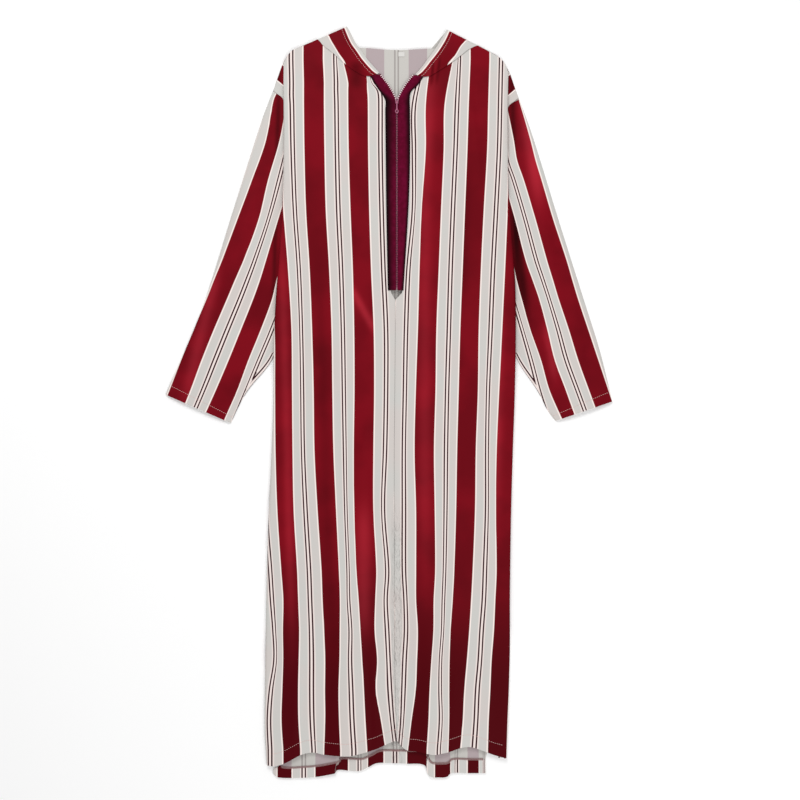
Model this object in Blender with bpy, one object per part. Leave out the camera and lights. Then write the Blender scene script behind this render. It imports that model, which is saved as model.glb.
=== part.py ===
"""A hooded robe lying flat on its back, face up, neck toward +Y. Sizes are in millimetres."""
import math

import bmesh
import bpy
from mathutils import Vector

MM = 0.001
CLOTH = 1.5            # thickness of one panel wall
LINING_CLOTH = 1.2     # thickness of a hood or sleeve wall
HEM_CLOTH = 2.4        # thickness where a hem is turned up
HEM_DEPTH = 25.0       # how far a hem is turned up
SEAM_GAP = 0.3         # space between two pieces that are sewn together
SIDE_SEAM_GAP = 0.8    # the same along the curved side seams
LAYER_GAP = 0.5        # space between two layers that lie on each other

HOOD_STACK = 3.6       # height of the hood folded behind the back
SLEEVE_STACK = 3.6     # height of a sleeve at its creases
BACK_OVER_HOOD = HOOD_STACK + LAYER_GAP
FLAP_OVER_SLEEVE = SLEEVE_STACK + LAYER_GAP
SIDE_TURN = 9.5        # outside height of the round turn at the body's sides
SHOULDER_TURN = 4.2    # the same at the shoulder tip
SHOULDER_FLAP = 3.9    # height of the turned-under side there
BAND_TOP = BACK_OVER_HOOD + CLOTH + LAYER_GAP + CLOTH
PLACKET_TOP = 10.0     # top of the fronts beside the zip
FRONT_TOP = 10.2       # top of the fronts elsewhere, before the folds
BACK_SPLIT = 66.0      # the back is two pieces here, below the sleeves

# Outline of the body's left crease and right crease, from the hem up to the shoulder tip: x, y.
CREASE_LEFT = [(-234, -690), (-238, -622), (-237, -499), (-235, -375), (-231, -223), (-225, -90), (-222, 1),
               (-219, 128), (-215, 204), (-207, 328), (-203, 423), (-202, 537), (-202.5, 605), (-202, 648)]
CREASE_RIGHT = [(222, -676), (225, -603), (228, -470), (228, -375), (230, -223), (234, -81), (237, 5),
                (239, 128), (238, 223), (231, 318), (225, 404), (224, 508), (224, 575), (225, 630)]
# Side seam on the underside, from the hem up to the underarm: x, y.
SIDE_LEFT = [(-219.5, -650), (-220, -622), (-219, -499), (-217, -375), (-213, -223), (-207, -90), (-204, 1),
             (-199, 85), (-149, 309)]
SIDE_RIGHT = [(205, -650), (207, -603), (210, -470), (210, -375), (211, -223), (215, -81), (219, 5),
              (219, 85), (171, 295)]
ARMHOLE_LEFT = [(-149, 309), (-160, 385), (-179, 480), (-202, 572), (-222, 592)]
ARMHOLE_RIGHT = [(171, 295), (182, 385), (201, 472), (224, 558), (245, 578)]
# Shoulder line from its tip to the neck, then the neck seam down to the top of the placket: x, y.
SHOULDER_LEFT = [(-202, 648), (-191, 664), (-183, 671), (-165, 678), (-138, 690)]
SHOULDER_RIGHT = [(225, 630), (218, 644), (210, 654), (190, 666), (167, 678.5)]
NECK_LEFT = [(-138, 690), (-125, 678.5), (-108, 665.5), (-86, 645.5), (-66, 631), (-48, 621.5), (-29.5, 617.5)]
NECK_RIGHT = [(167, 678.5), (148, 671.5), (129, 656.5), (108, 641.5), (89, 629.5), (73, 620.5), (56.5, 615)]
# Centre edge of each front, from the hem up the centre seam and the zip opening to the neck: x, y.
CENTRE_LEFT = [(13, -643), (11, -584), (9, -489), (8, -375), (8, -223), (8, -90), (9, 5), (10, 138), (10, 195),
               (2, 209), (1, 385), (0, 569), (-12, 590), (-29.5, 617.5)]
CENTRE_RIGHT = [(13, -643), (11, -584), (9, -489), (8, -375), (8, -223), (8, -90), (9, 5), (10, 138), (10, 195),
                (23.5, 209), (24.5, 385), (27, 569), (38, 588), (56.5, 615)]
# Lower edge of each front, from the side to the centre: x, y.
HEM_LEFT = [(-234, -690), (-219, -691), (-199, -685), (-168, -669), (-146, -665), (-126, -669), (-84, -672),
            (-63, -669), (-28, -659), (-10, -651), (4, -645), (13, -643)]
HEM_RIGHT = [(222, -676), (199, -670), (180, -663), (155, -655), (136, -656), (112, -664), (98, -667),
             (82, -669), (52, -663), (33, -661), (24, -655), (13, -643)]
# Upper and lower edge of the back, from left to right: x, y.
BACK_TOP = [(-222, 592), (-215, 615), (-202, 649), (-191, 664.5), (-165, 679), (-146, 685), (-133, 680), (-86, 676),
            (-48, 674), (10, 670), (80, 673), (124, 674), (158, 676), (175, 674), (190, 667), (210, 655), (226, 630),
            (238, 598), (245, 578)]
BACK_HEM = [(-222, -707), (-213, -713), (-175, -714), (-141, -712), (-112, -707), (-105, -705),
            (-100, -699), (-80, -700), (-59, -701), (-42, -694), (-25, -686), (10, -686), (32, -687), (66, -690),
            (72, -707), (78, -712), (91, -713), (108, -712), (116, -705), (148, -705), (182, -705)]
BACK_CORNER_LEFT = [(-222, -707), (-220.5, -695), (-211, -693), (-212, -684)]
BACK_CORNER_RIGHT = [(182, -705), (184, -668), (200, -655)]
# Sleeve creases from the armhole to the cuff: x, y.
SLEEVE_OUT_LEFT = [(-222, 592), (-243, 539), (-296, 373), (-359, 175), (-427, 15)]
SLEEVE_IN_LEFT = [(-149, 309), (-188, 195), (-223, 85), (-270, 24), (-287, -5), (-303, -39)]
SLEEVE_OUT_RIGHT = [(245, 578), (272, 504), (320, 349), (369, 194), (398, 102), (423, 2)]
SLEEVE_IN_RIGHT = [(171, 295), (207, 189), (240, 86), (282, 20), (301, -17), (315, -35)]
# Hood: face edge in front from the placket to the ear, then what is folded behind, downward: x, y.
FACE_LEFT = [(-20, 626.5), (-34, 642), (-46, 656), (-56, 671), (-66, 684), (-74, 700), (-82, 715)]
FACE_RIGHT = [(108, 709), (100, 694), (90, 678), (81, 665), (71, 652), (60, 637), (48, 623.5)][::-1]
BEHIND_SIDE = [(-147, 655), (-155, 603), (-153, 546), (-140, 489), (-112, 438), (-70, 400), (-20, 382)]
BEHIND_FACE = [(-70, 674), (-47, 645), (-22, 620), (-2, 601), (-0.2, 546), (-0.2, 460), (-0.2, 384)]
BEHIND_NECK = [(-0.2, 400), (-0.2, 460), (-0.2, 520), (-0.2, 580), (-0.2, 630), (-0.2, 668)]
BEHIND_WING = [(-70, 400), (-112, 438), (-140, 489), (-153, 546), (-155, 603), (-147, 655)]
HOOD_CENTRE_X = 9.0
# Velvet strip: outer edge from the neck to the zip's lower end: x, y.
VELVET_LEFT = [(-36, 617.5), (-25, 599), (-9, 574), (-9, 556), (-8, 461), (-7, 368), (-4, 213)]
VELVET_RIGHT = [(61, 615.5), (53, 603), (40, 590), (37.5, 576), (38, 556), (38, 461), (35, 368), (25.5, 213)]
# Where the zip's teeth run, as distances from the zip's middle line: y, half space between the rows.
CHAIN = [(622, 31.5), (606, 18.5), (591, 9.5), (578, 2.9), (572, 0.9), (566, 0.15), (461, 0.15), (368, 0.15),
         (214, 0.15)]
CHAIN_X = 13.0
TEETH_WIDTH = 1.5
TEETH_TOP = 12.1
TAPE_WIDTH = 8.5

# Slider and pull tab.
SLIDER_Y = 573.5
SLIDER_TOP = 14.2
SLIDER_WIDTH = 7.0
SLIDER_LENGTH = 13.0
PULL_Y = 568.5
PULL_Z = 16.0
PULL_TILT = 8.0        # how far the tab's end hangs below level, in degrees

# Soft folds of the fronts: x0, y0, x1, y1, half width, height.
FRONT_FOLDS = [
    (-84, -700, -70, -330, 30, 3.2),
    (82, -700, 74, -330, 30, 3.2),
    (-148, -700, -112, -280, 30, -1.2),
    (12, -700, 12, -390, 26, -1.2),
    (150, -700, 172, -260, 28, -1.2),
    (-50, 120, -36, -260, 26, 2.5),
    (-76, 240, -38, 110, 18, 1.5),
    (100, 540, 60, 330, 24, 1.5),
    (60, -220, 80, -420, 20, 1.5),
]


def clamp(value, low, high):
    return max(low, min(high, value))


def soft(value):
    value = clamp(value, 0.0, 1.0)
    return value * value * (3.0 - 2.0 * value)


def mix(a, b, share):
    return a + (b - a) * share


def smooth_line(points, steps=8):
    """A curve through the points, as many short steps."""
    pts = [Vector(p) for p in points]
    line = []
    for i in range(len(pts) - 1):
        before = pts[max(i - 1, 0)]
        start = pts[i]
        end = pts[i + 1]
        after = pts[min(i + 2, len(pts) - 1)]
        length = (end - start).length
        lead_in = (end - before) * (length / max((end - before).length, 1e-6))
        lead_out = (after - start) * (length / max((after - start).length, 1e-6))
        for k in range(steps):
            t = k / steps
            a = 2 * t ** 3 - 3 * t ** 2 + 1
            b = t ** 3 - 2 * t ** 2 + t
            c = -2 * t ** 3 + 3 * t ** 2
            d = t ** 3 - t ** 2
            line.append(start * a + lead_in * b + end * c + lead_out * d)
    line.append(pts[-1])
    return line


class Line:
    """A smooth or straight-sided line that gives a point at any share of its length."""

    def __init__(self, points, smooth=True, after_corner=None):
        self.points = smooth_line(points) if smooth else [Vector(p) for p in points]
        self.corner = 1.0
        if after_corner:
            before = len(self.points)
            self.points += smooth_line(after_corner)[1:]
        self.lengths = [0.0]
        for i in range(1, len(self.points)):
            step = (self.points[i] - self.points[i - 1]).length
            self.lengths.append(self.lengths[-1] + step)
        self.total = self.lengths[-1]
        if after_corner:
            self.corner = self.lengths[before - 1] / self.total

    def at(self, share):
        target = clamp(share, 0.0, 1.0) * self.total
        for i in range(1, len(self.points)):
            if target <= self.lengths[i] or i == len(self.points) - 1:
                span = self.lengths[i] - self.lengths[i - 1]
                part = (target - self.lengths[i - 1]) / span if span else 0.0
                return self.points[i - 1].lerp(self.points[i], clamp(part, 0.0, 1.0))
        return self.points[-1]


def across_at(rows, y):
    """The x at the height y of a line of points that runs upward."""
    if y <= rows[0][1]:
        return rows[0][0]
    for low, high in zip(rows, rows[1:]):
        if y <= high[1]:
            return mix(low[0], high[0], (y - low[1]) / (high[1] - low[1]))
    return rows[-1][0]


def patch(bottom, top, left, right, u, v):
    """A point of the sheet that four edge lines span."""
    base = mix(bottom.at(u), top.at(u), v) + mix(left.at(v), right.at(v), u)
    corners = mix(mix(bottom.at(0), bottom.at(1), u), mix(top.at(0), top.at(1), u), v)
    return base - corners


def share_at(line, y):
    """The share of an upward line's length at which it reaches the height y."""
    for i in range(1, len(line.points)):
        if line.points[i].y >= y:
            part = (y - line.points[i - 1].y) / (line.points[i].y - line.points[i - 1].y)
            return mix(line.lengths[i - 1], line.lengths[i], part) / line.total
    return 1.0


SEAM_UP_LEFT = smooth_line(SIDE_LEFT + ARMHOLE_LEFT[1:])
SEAM_UP_RIGHT = smooth_line(SIDE_RIGHT + ARMHOLE_RIGHT[1:])
CREASE_UP_LEFT = smooth_line(CREASE_LEFT)
CREASE_UP_RIGHT = smooth_line(CREASE_RIGHT)


def fold_height(x, y):
    total = 0.0
    for x0, y0, x1, y1, half, height in FRONT_FOLDS:
        along = Vector((x1 - x0, y1 - y0))
        length = along.length
        along = along / length
        rel = Vector((x - x0, y - y0))
        share = rel.dot(along) / length
        if share < -0.15 or share > 1.0:
            continue
        side = abs(rel.x * along.y - rel.y * along.x)
        if side < half * 1.6:
            fade = soft((1.0 - share) / 0.45) * soft((share + 0.15) / 0.15)
            total += height * fade * (0.5 + 0.5 * math.cos(math.pi * side / (half * 1.6)))
    return total


def back_floor(x, y):
    """Height of the back's underside: flat on the floor, raised where the folded hood lies under it."""
    across = (x - HOOD_CENTRE_X) / 168.0
    along = min(y - 590.0, 0.0) / 238.0
    reach = math.hypot(across, along)
    height = BACK_OVER_HOOD * (1.0 - soft((reach - 1.0) / 0.22))
    if 85.0 < y < 309.0:
        rise = soft((y - 85.0) / 60.0) * soft((309.0 - y) / 40.0)
        near = min(x - across_at(SEAM_UP_LEFT, y), across_at(SEAM_UP_RIGHT, y) - x)
        height += FLAP_OVER_SLEEVE * rise * (1.0 - soft(near / 30.0))
    return height


def flap_floor(y):
    """Height of the turned-under side: on the floor below the sleeve, on the sleeve above."""
    over_sleeve = soft((y - 10.0) / 75.0)
    tip = soft((y - 590.0) / 40.0)
    return mix(FLAP_OVER_SLEEVE * over_sleeve, SHOULDER_FLAP, tip)


def turn_height(y):
    return mix(SIDE_TURN, SHOULDER_TURN, soft((y - 560.0) / 70.0))


def placket_level(y):
    """Top of the fronts beside the placket."""
    return mix(PLACKET_TOP, BAND_TOP, soft((y - 575.0) / 42.0))


def front_level(x, y, u, v, length, crease):
    """Top of a front at u from side to centre and v from hem to shoulder."""
    side = flap_floor(y) + turn_height(y)
    middle = FRONT_TOP + fold_height(x, y)
    if y > 190.0:
        middle = mix(middle, placket_level(y), soft((u - 0.55) / 0.25))
    level = mix(side, middle, soft(u / 0.28))
    edge = back_floor(x, y) + CLOTH + LAYER_GAP + CLOTH
    if y > 560.0:
        near = abs(x - across_at(crease, y))
        edge = max(edge, mix(SHOULDER_FLAP + 2 * CLOTH + LAYER_GAP, 0.0, soft((near - 24.0) / 14.0)))
    from_top = (1.0 - v) * length
    edge_share = 1.0 - soft(from_top / 55.0)
    if u < 0.02:
        edge_share = 0.0
    level = mix(level, max(edge, BAND_TOP * soft((u - 0.3) / 0.1)), edge_share)
    return max(level, edge)


def wall(grid, thickness, facing, closed=False):
    """A closed shell: the grid is its outside, the inside lies one thickness behind it.

    thickness is a function of the row and column."""
    rows = len(grid)
    cols = len(grid[0])
    mesh = bmesh.new()
    outside = []
    inside = []
    for r in range(rows):
        for c in range(cols):
            left = grid[r][(c - 1) % cols] if closed or c > 0 else grid[r][c]
            right = grid[r][(c + 1) % cols] if closed or c < cols - 1 else grid[r][c]
            low = grid[max(r - 1, 0)][c]
            high = grid[min(r + 1, rows - 1)][c]
            normal = (right - left).cross(high - low)
            if normal.length < 1e-9:
                normal = Vector((0.0, 0.0, 1.0))
            normal.normalize()
            point = grid[r][c]
            outside.append(mesh.verts.new(point))
            inside.append(mesh.verts.new(point - normal * (facing * thickness(r, c))))
    spans = cols if closed else cols - 1

    def quad(layer, r, c):
        n = (c + 1) % cols
        return [layer[r * cols + c], layer[r * cols + n], layer[(r + 1) * cols + n], layer[(r + 1) * cols + c]]

    for r in range(rows - 1):
        for c in range(spans):
            mesh.faces.new(quad(outside, r, c))
            mesh.faces.new(quad(inside, r, c)[::-1])
    for r in (0, rows - 1):
        for c in range(spans):
            n = (c + 1) % cols
            mesh.faces.new((outside[r * cols + c], inside[r * cols + c], inside[r * cols + n], outside[r * cols + n]))
    if not closed:
        for c in (0, cols - 1):
            for r in range(rows - 1):
                a = r * cols + c
                b = a + cols
                mesh.faces.new((outside[a], outside[b], inside[b], inside[a]))
    bmesh.ops.recalc_face_normals(mesh, faces=mesh.faces)
    return mesh


def panel_rows(count, crowd):
    """Shares from 0 to 1, closer together at both ends."""
    rows = []
    for i in range(count + 1):
        t = i / count
        rows.append(mix(t, 0.5 - 0.5 * math.cos(math.pi * t), crowd))
    return rows


def make_material(name, colour, roughness, metallic):
    material = bpy.data.materials.new(name)
    material.use_nodes = True
    shader = material.node_tree.nodes["Principled BSDF"]
    shader.inputs["Base Color"].default_value = (*colour, 1.0)
    shader.inputs["Roughness"].default_value = roughness
    shader.inputs["Metallic"].default_value = metallic
    return material


def place(name, mesh, material, collection, origin=(0.0, 0.0, 0.0)):
    """Turn a mesh in millimetres into a named object in metres, with its origin at the given point."""
    start = Vector(origin)
    for vert in mesh.verts:
        vert.co = (vert.co - start) * MM
    data = bpy.data.meshes.new(name)
    mesh.to_mesh(data)
    mesh.free()
    data.materials.append(material)
    thing = bpy.data.objects.new(name, data)
    thing.location = start * MM
    collection.objects.link(thing)
    return thing


def front_meshes(side):
    """One front in two solids: the side turned under with its round turn, and the top layer to the centre."""
    if side < 0:
        crease, hem, shoulder, neck, centre, seam = (CREASE_LEFT, HEM_LEFT, SHOULDER_LEFT, NECK_LEFT,
                                                     CENTRE_LEFT, SEAM_UP_LEFT)
        crease_up = CREASE_UP_LEFT
    else:
        crease, hem, shoulder, neck, centre, seam = (CREASE_RIGHT, HEM_RIGHT, SHOULDER_RIGHT, NECK_RIGHT,
                                                     CENTRE_RIGHT, SEAM_UP_RIGHT)
        crease_up = CREASE_UP_RIGHT
    half_gap = SEAM_GAP * 0.75
    centre = [(x + side * half_gap, y) for x, y in centre]
    hem = hem[:-1] + [centre[0]]
    neck = neck[:-1] + [centre[-1]]
    lines = [Line(hem), Line(shoulder, after_corner=neck), Line(crease), Line(centre, smooth=False)]
    shares = panel_rows(26, 0.25)
    for y in (194.0, 209.0, 569.0):
        exact = share_at(lines[3], y)
        shares = [v for v in shares if abs(v - exact) > 0.012] + [exact]
    shares.sort()
    columns = [0.09, 0.15, 0.22, 0.3, 0.38, 0.46, 0.54, 0.62, 0.7, 0.78, 0.86, 0.93, 1.0]
    columns = [u for u in columns if abs(u - lines[1].corner) > 0.03] + [lines[1].corner]
    columns.sort()
    under = []
    top = []
    for v in shares:
        edge = lines[2].at(v)
        y = edge.y
        low = flap_floor(y)
        radius = turn_height(y) / 2.0
        seam_x = across_at(seam, y) + side * SIDE_SEAM_GAP
        reach = max(abs(seam_x - edge.x), radius * 1.5 + 1.0)
        row = []
        flap_end = edge.x - side * reach
        turn_x = edge.x - side * radius
        for share in (0.0, 0.5):
            row.append(Vector((mix(flap_end, turn_x, share), y, low)))
        for step in range(6):
            angle = math.pi * step / 5.0
            row.append(Vector((turn_x + side * radius * math.sin(angle), y, low + radius - radius * math.cos(angle))))
        row.append(Vector((turn_x - side * 0.6, y, low + 2 * radius)))
        under.append(row)
        row = [Vector((turn_x - side * (0.6 + SEAM_GAP), y, low + 2 * radius))]
        for u in columns:
            spot = patch(lines[0], lines[1], lines[2], lines[3], u, v)
            level = front_level(spot.x, spot.y, u, v, lines[2].total, crease_up)
            row.append(Vector((spot.x, spot.y, level)))
        top.append(row)

    def thickness(r, c):
        from_hem = shares[r] * lines[2].total
        return mix(HEM_CLOTH, CLOTH, soft((from_hem - HEM_DEPTH) / 4.0)) if c > 1 else CLOTH

    return wall(under, lambda r, c: CLOTH, -side), wall(top, thickness, -side)


def back_meshes():
    """The back in two solids, the skirt and the part above it, with a fine gap between them."""
    left = Line(BACK_CORNER_LEFT + SIDE_LEFT + ARMHOLE_LEFT[1:])
    right = Line(BACK_CORNER_RIGHT + SIDE_RIGHT + ARMHOLE_RIGHT[1:])
    hem = Line(BACK_HEM)
    top = Line(BACK_TOP)
    columns = panel_rows(24, 0.1)
    split = share_at(left, BACK_SPLIT)
    gap = SEAM_GAP * 0.5 / left.total
    made = []
    for first, last, count in ((0.0, split - gap, 14), (split + gap, 1.0, 16)):
        shares = [mix(first, last, share) for share in panel_rows(count, 0.2)]
        if first == 0.0:
            shares = sorted(shares + [HEM_DEPTH / left.total, (HEM_DEPTH + 4.0) / left.total])
        grid = []
        for v in shares:
            row = []
            for u in columns:
                spot = patch(hem, top, left, right, u, v)
                row.append(Vector((spot.x, spot.y, back_floor(spot.x, spot.y))))
            grid.append(row)

        def thickness(r, c):
            return mix(HEM_CLOTH, CLOTH, soft((shares[r] * left.total - HEM_DEPTH) / 4.0))

        made.append(wall(grid, thickness, -1))
    return made


def sleeve_mesh(side):
    """A sleeve: an open tube, pressed flat, from the armhole to the cuff."""
    if side < 0:
        armhole, outer, inner, crease = ARMHOLE_LEFT, SLEEVE_OUT_LEFT, SLEEVE_IN_LEFT, CREASE_UP_LEFT
    else:
        armhole, outer, inner, crease = ARMHOLE_RIGHT, SLEEVE_OUT_RIGHT, SLEEVE_IN_RIGHT, CREASE_UP_RIGHT
    shifts = [(side * 1.2, -1.2), (side * 2.5, -3.5), (side * 1.5, -1.2), (side * 1.5, -1.2), (side * 2.0, -2.0)]
    armhole = [Vector(p) + Vector(shift) for p, shift in zip(armhole[::-1], shifts)]
    outer = [armhole[0]] + [Vector(p) for p in outer[1:]]
    inner = [armhole[-1]] + [Vector(p) for p in inner[1:]]
    cuff = [outer[-1], inner[-1]]
    lines = [Line(armhole), Line(cuff), Line(outer), Line(inner)]
    radius = SLEEVE_STACK / 2.0
    shares = panel_rows(14, 0.2)
    inner_shares = [0.1, 0.22, 0.34, 0.46, 0.58, 0.7, 0.82, 0.92]
    grid = []
    for v in shares:
        width = (lines[2].at(v) - lines[3].at(v)).length
        r = radius / width
        bend = [(0.0, radius), (r * 0.293, radius * 1.707), (r, radius * 2)]
        loop = list(bend)
        loop += [(t, 2 * radius) for t in inner_shares]
        loop += [(1 - t, z) for t, z in bend[::-1]]
        loop += [(1 - r * 0.293, radius * 0.293), (1 - r, 0.0)]
        loop += [(t, 0.0) for t in inner_shares[::-1]]
        loop += [(r, 0.0), (r * 0.293, radius * 0.293)]
        row = []
        for t, z in loop:
            spot = patch(lines[0], lines[1], lines[2], lines[3], t, v)
            if z == 2 * radius:
                clear_of_body = side * (spot.x - across_at(crease, spot.y))
                puff = soft((clear_of_body - 2.0) / 70.0) * math.sin(math.pi * t) ** 0.6
                z += 5.5 * puff
            row.append(Vector((spot.x, spot.y, z)))
        grid.append(row)

    def thickness(r, c):
        from_cuff = (1.0 - shares[r]) * lines[2].total
        return LINING_CLOTH

    return wall(grid, thickness, side, closed=True)


def hood_mesh(side):
    """One hood half: the band in front, the ear fold, the outer layer behind, its lower fold, the inner layer."""
    if side < 0:
        seam = [Vector((-31.5, 621))] + [Vector(p) + Vector((0.25, 0.35)) for p in NECK_LEFT[-2::-1]]
        face = [Vector(p) for p in FACE_LEFT]
    else:
        seam = [Vector((59, 619.5))] + [Vector(p) + Vector((-0.25, 0.35)) for p in NECK_RIGHT[-2::-1]]
        face = [Vector(p) for p in FACE_RIGHT]
    radius = BAND_TOP / 2.0
    ear = face[-1] - seam[-1]
    outward = Vector((-ear.y, ear.x)).normalized() * (-side)
    columns = [0.0, 0.12, 0.3, 0.5, 0.7, 0.88, 1.0]
    pairs = []
    for i in range(len(seam) - 1):
        pairs.append((seam[i], face[i], BAND_TOP, 0.0))
    down_seam = (seam[-2] - seam[-1]).normalized()
    down_face = (face[-2] - face[-1]).normalized()
    start_seam = seam[-1] - down_seam * (radius / down_seam.dot(outward))
    start_face = face[-1] - down_face * (radius / down_face.dot(outward))
    for step in range(6):
        angle = math.pi * step / 5.0
        push = outward * radius * math.sin(angle)
        pairs.append((start_seam + push, start_face + push, radius + radius * math.cos(angle), 0.0))
    flip = -side

    def behind(points):
        return [Vector((HOOD_CENTRE_X + flip * x, y)) for x, y in points]

    for a, b in zip(behind(BEHIND_SIDE), behind(BEHIND_FACE)):
        pairs.append((a, b, 0.0, 0.0))
    low_a = behind(BEHIND_SIDE)[-1]
    low_b = behind(BEHIND_FACE)[-1]
    turn = HOOD_STACK / 2.0
    for step in range(1, 5):
        angle = math.pi * step / 5.0
        drop = Vector((0.0, -turn * math.sin(angle)))
        pairs.append((low_a + drop, low_b + drop, turn - turn * math.cos(angle), 0.0))
    pairs.append((low_a, low_b, HOOD_STACK, 0.0))
    for a, b in zip(behind(BEHIND_WING), behind(BEHIND_NECK)):
        pairs.append((a, b, HOOD_STACK, 0.0))
    grid = []
    for a, b, z, lift in pairs:
        grid.append([Vector((*a.lerp(b, u), z + lift)) for u in columns])
    return wall(grid, lambda r, c: LINING_CLOTH, -side)


def strip_mesh(sections):
    """A strip swept through closed sections of equal point count, capped at both ends."""
    mesh = bmesh.new()
    rings = [[mesh.verts.new(p) for p in ring] for ring in sections]
    count = len(rings[0])
    for first, second in zip(rings, rings[1:]):
        for i in range(count):
            j = (i + 1) % count
            mesh.faces.new((first[i], first[j], second[j], second[i]))
    mesh.faces.new(rings[0][::-1])
    mesh.faces.new(rings[-1])
    bmesh.ops.recalc_face_normals(mesh, faces=mesh.faces)
    return mesh


def chain_half(y):
    return across_at([(half, level) for level, half in CHAIN[::-1]], y)


def placket_mesh(side):
    """Velvet strip from the V down both sides of the zip, lying just above the front."""
    table = VELVET_LEFT if side < 0 else VELVET_RIGHT
    outer = Line(table)
    sections = []
    for i in range(23):
        share = i / 22.0
        a = outer.at(share)
        y_in = a.y + 1.5 * soft((a.y - 575.0) / 20.0)
        inner_x = CHAIN_X + side * (chain_half(y_in) + TEETH_WIDTH + SEAM_GAP)
        low = placket_level(min(a.y, y_in)) + SEAM_GAP
        sections.append([
            Vector((a.x, a.y, low)), Vector((inner_x, y_in, low)),
            Vector((inner_x, y_in, low + 1.5)), Vector((a.x, a.y, low + 1.5)),
        ])
    return strip_mesh(sections)


def zip_mesh(side):
    """Zip tape under the velvet with its row of teeth at the inner edge."""
    sections = []
    for i in range(len(CHAIN)):
        y, half = CHAIN[i]
        edge = CHAIN_X + side * half
        top = placket_level(y)
        drop = top - PLACKET_TOP
        tape = TAPE_WIDTH if y < 600 else TAPE_WIDTH * 0.6
        points = [
            (edge, top - 1.4), (edge, TEETH_TOP + drop), (edge + side * TEETH_WIDTH, TEETH_TOP + drop),
            (edge + side * TEETH_WIDTH, top - 0.2), (edge + side * tape, top - 0.2), (edge + side * tape, top - 1.4),
        ]
        sections.append([Vector((x, y, z)) for x, z in points])
    return strip_mesh(sections)


def block(mesh, x0, x1, y0, y1, z0, z1):
    made = bmesh.ops.create_cube(mesh, size=1.0)
    centre = Vector(((x0 + x1) / 2, (y0 + y1) / 2, (z0 + z1) / 2))
    size = Vector((x1 - x0, y1 - y0, z1 - z0))
    for vert in made["verts"]:
        vert.co = Vector((vert.co.x * size.x, vert.co.y * size.y, vert.co.z * size.z)) + centre


def tube(mesh, radius, x0, x1, y, z, sides=20):
    """A round bar along X."""
    made = bmesh.ops.create_cone(mesh, cap_ends=True, segments=sides, radius1=radius, radius2=radius, depth=1.0)
    for vert in made["verts"]:
        across, up, along = vert.co.x, vert.co.y, vert.co.z
        vert.co = Vector(((x0 + x1) / 2 + along * (x1 - x0), y + across, z + up))


def combine(target, tools, operation):
    """Join the tools to the target, or cut them out of it."""
    for tool in tools:
        step = target.modifiers.new(operation.lower() + "_" + tool.name, "BOOLEAN")
        step.operation = operation
        step.solver = "EXACT"
        step.object = tool


def tool_piece(name, shapes, material, collection, origin):
    """A helper body made of one shape; it is never rendered."""
    tools = []
    for number, (kind, sizes) in enumerate(shapes):
        mesh = bmesh.new()
        kind(mesh, *sizes)
        tool = place(name + "_" + str(number), mesh, material, collection, origin)
        tool.hide_render = True
        tool.display_type = "WIRE"
        tools.append(tool)
    return tools


def make_slider(material, robe, cutters):
    """Slider: a plate above and below the teeth, a post between them, and two lugs with a pin."""
    mesh = bmesh.new()
    x, y, z = CHAIN_X, SLIDER_Y, SLIDER_TOP
    half = SLIDER_WIDTH / 2.0
    block(mesh, x - half, x + half, y - SLIDER_LENGTH / 2, y + SLIDER_LENGTH / 2, z - 1.6, z)
    origin = (x, y, z)
    slider = place("zip_slider", mesh, material, robe, origin)
    lug_y = PULL_Y
    shapes = [
        (block, (x - 1.2, x + 1.2, y + 3.7, y + 6.1, 7.4, z - 0.8)),
        (block, (x - half, x + half, y - SLIDER_LENGTH / 2, y + SLIDER_LENGTH / 2, 6.8, 8.2)),
        (block, (x - 2.7, x - 1.7, lug_y - 1.5, lug_y + 1.5, z - 0.8, PULL_Z + 1.4)),
        (block, (x + 1.7, x + 2.7, lug_y - 1.5, lug_y + 1.5, z - 0.8, PULL_Z + 1.4)),
        (tube, (0.6, x - 2.2, x + 2.2, lug_y, PULL_Z)),
    ]
    combine(slider, tool_piece("slider_part", shapes, material, cutters, origin), "UNION")
    return slider


def make_pull(material, robe, cutters):
    """Pull tab: an eye around the slider's pin, a neck and a flat tab with a slot, hinged on the pin."""
    x, y, z = CHAIN_X, PULL_Y, PULL_Z
    origin = (x, y, z)
    mesh = bmesh.new()
    tube(mesh, 1.5, x - 1.4, x + 1.4, y, z)
    pull = place("zip_pull", mesh, material, robe, origin)
    joined = [
        (block, (x - 1.4, x + 1.4, y - 7.0, y - 0.95, z - 0.6, z + 0.6)),
        (block, (x - 3.4, x + 3.4, y - 19.5, y - 6.0, z - 0.6, z + 0.6)),
    ]
    cut = [
        (tube, (0.9, x - 3.0, x + 3.0, y, z)),
        (block, (x - 1.5, x + 1.5, y - 17.6, y - 8.0, z - 2.0, z + 2.0)),
    ]
    combine(pull, tool_piece("pull_part", joined, material, cutters, origin), "UNION")
    combine(pull, tool_piece("pull_cut", cut, material, cutters, origin), "DIFFERENCE")
    for tool in list(cutters.objects):
        if tool.name.startswith("pull_"):
            tool.rotation_euler = (math.radians(PULL_TILT), 0.0, 0.0)
    pull.rotation_euler = (math.radians(PULL_TILT), 0.0, 0.0)
    return pull


def make_label(material, robe):
    mesh = bmesh.new()
    floor = BACK_OVER_HOOD + CLOTH + SEAM_GAP
    block(mesh, 16.0, 27.8, 653.5, 665.5, floor, floor + 0.8)
    return place("neck_label", mesh, material, robe)


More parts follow.
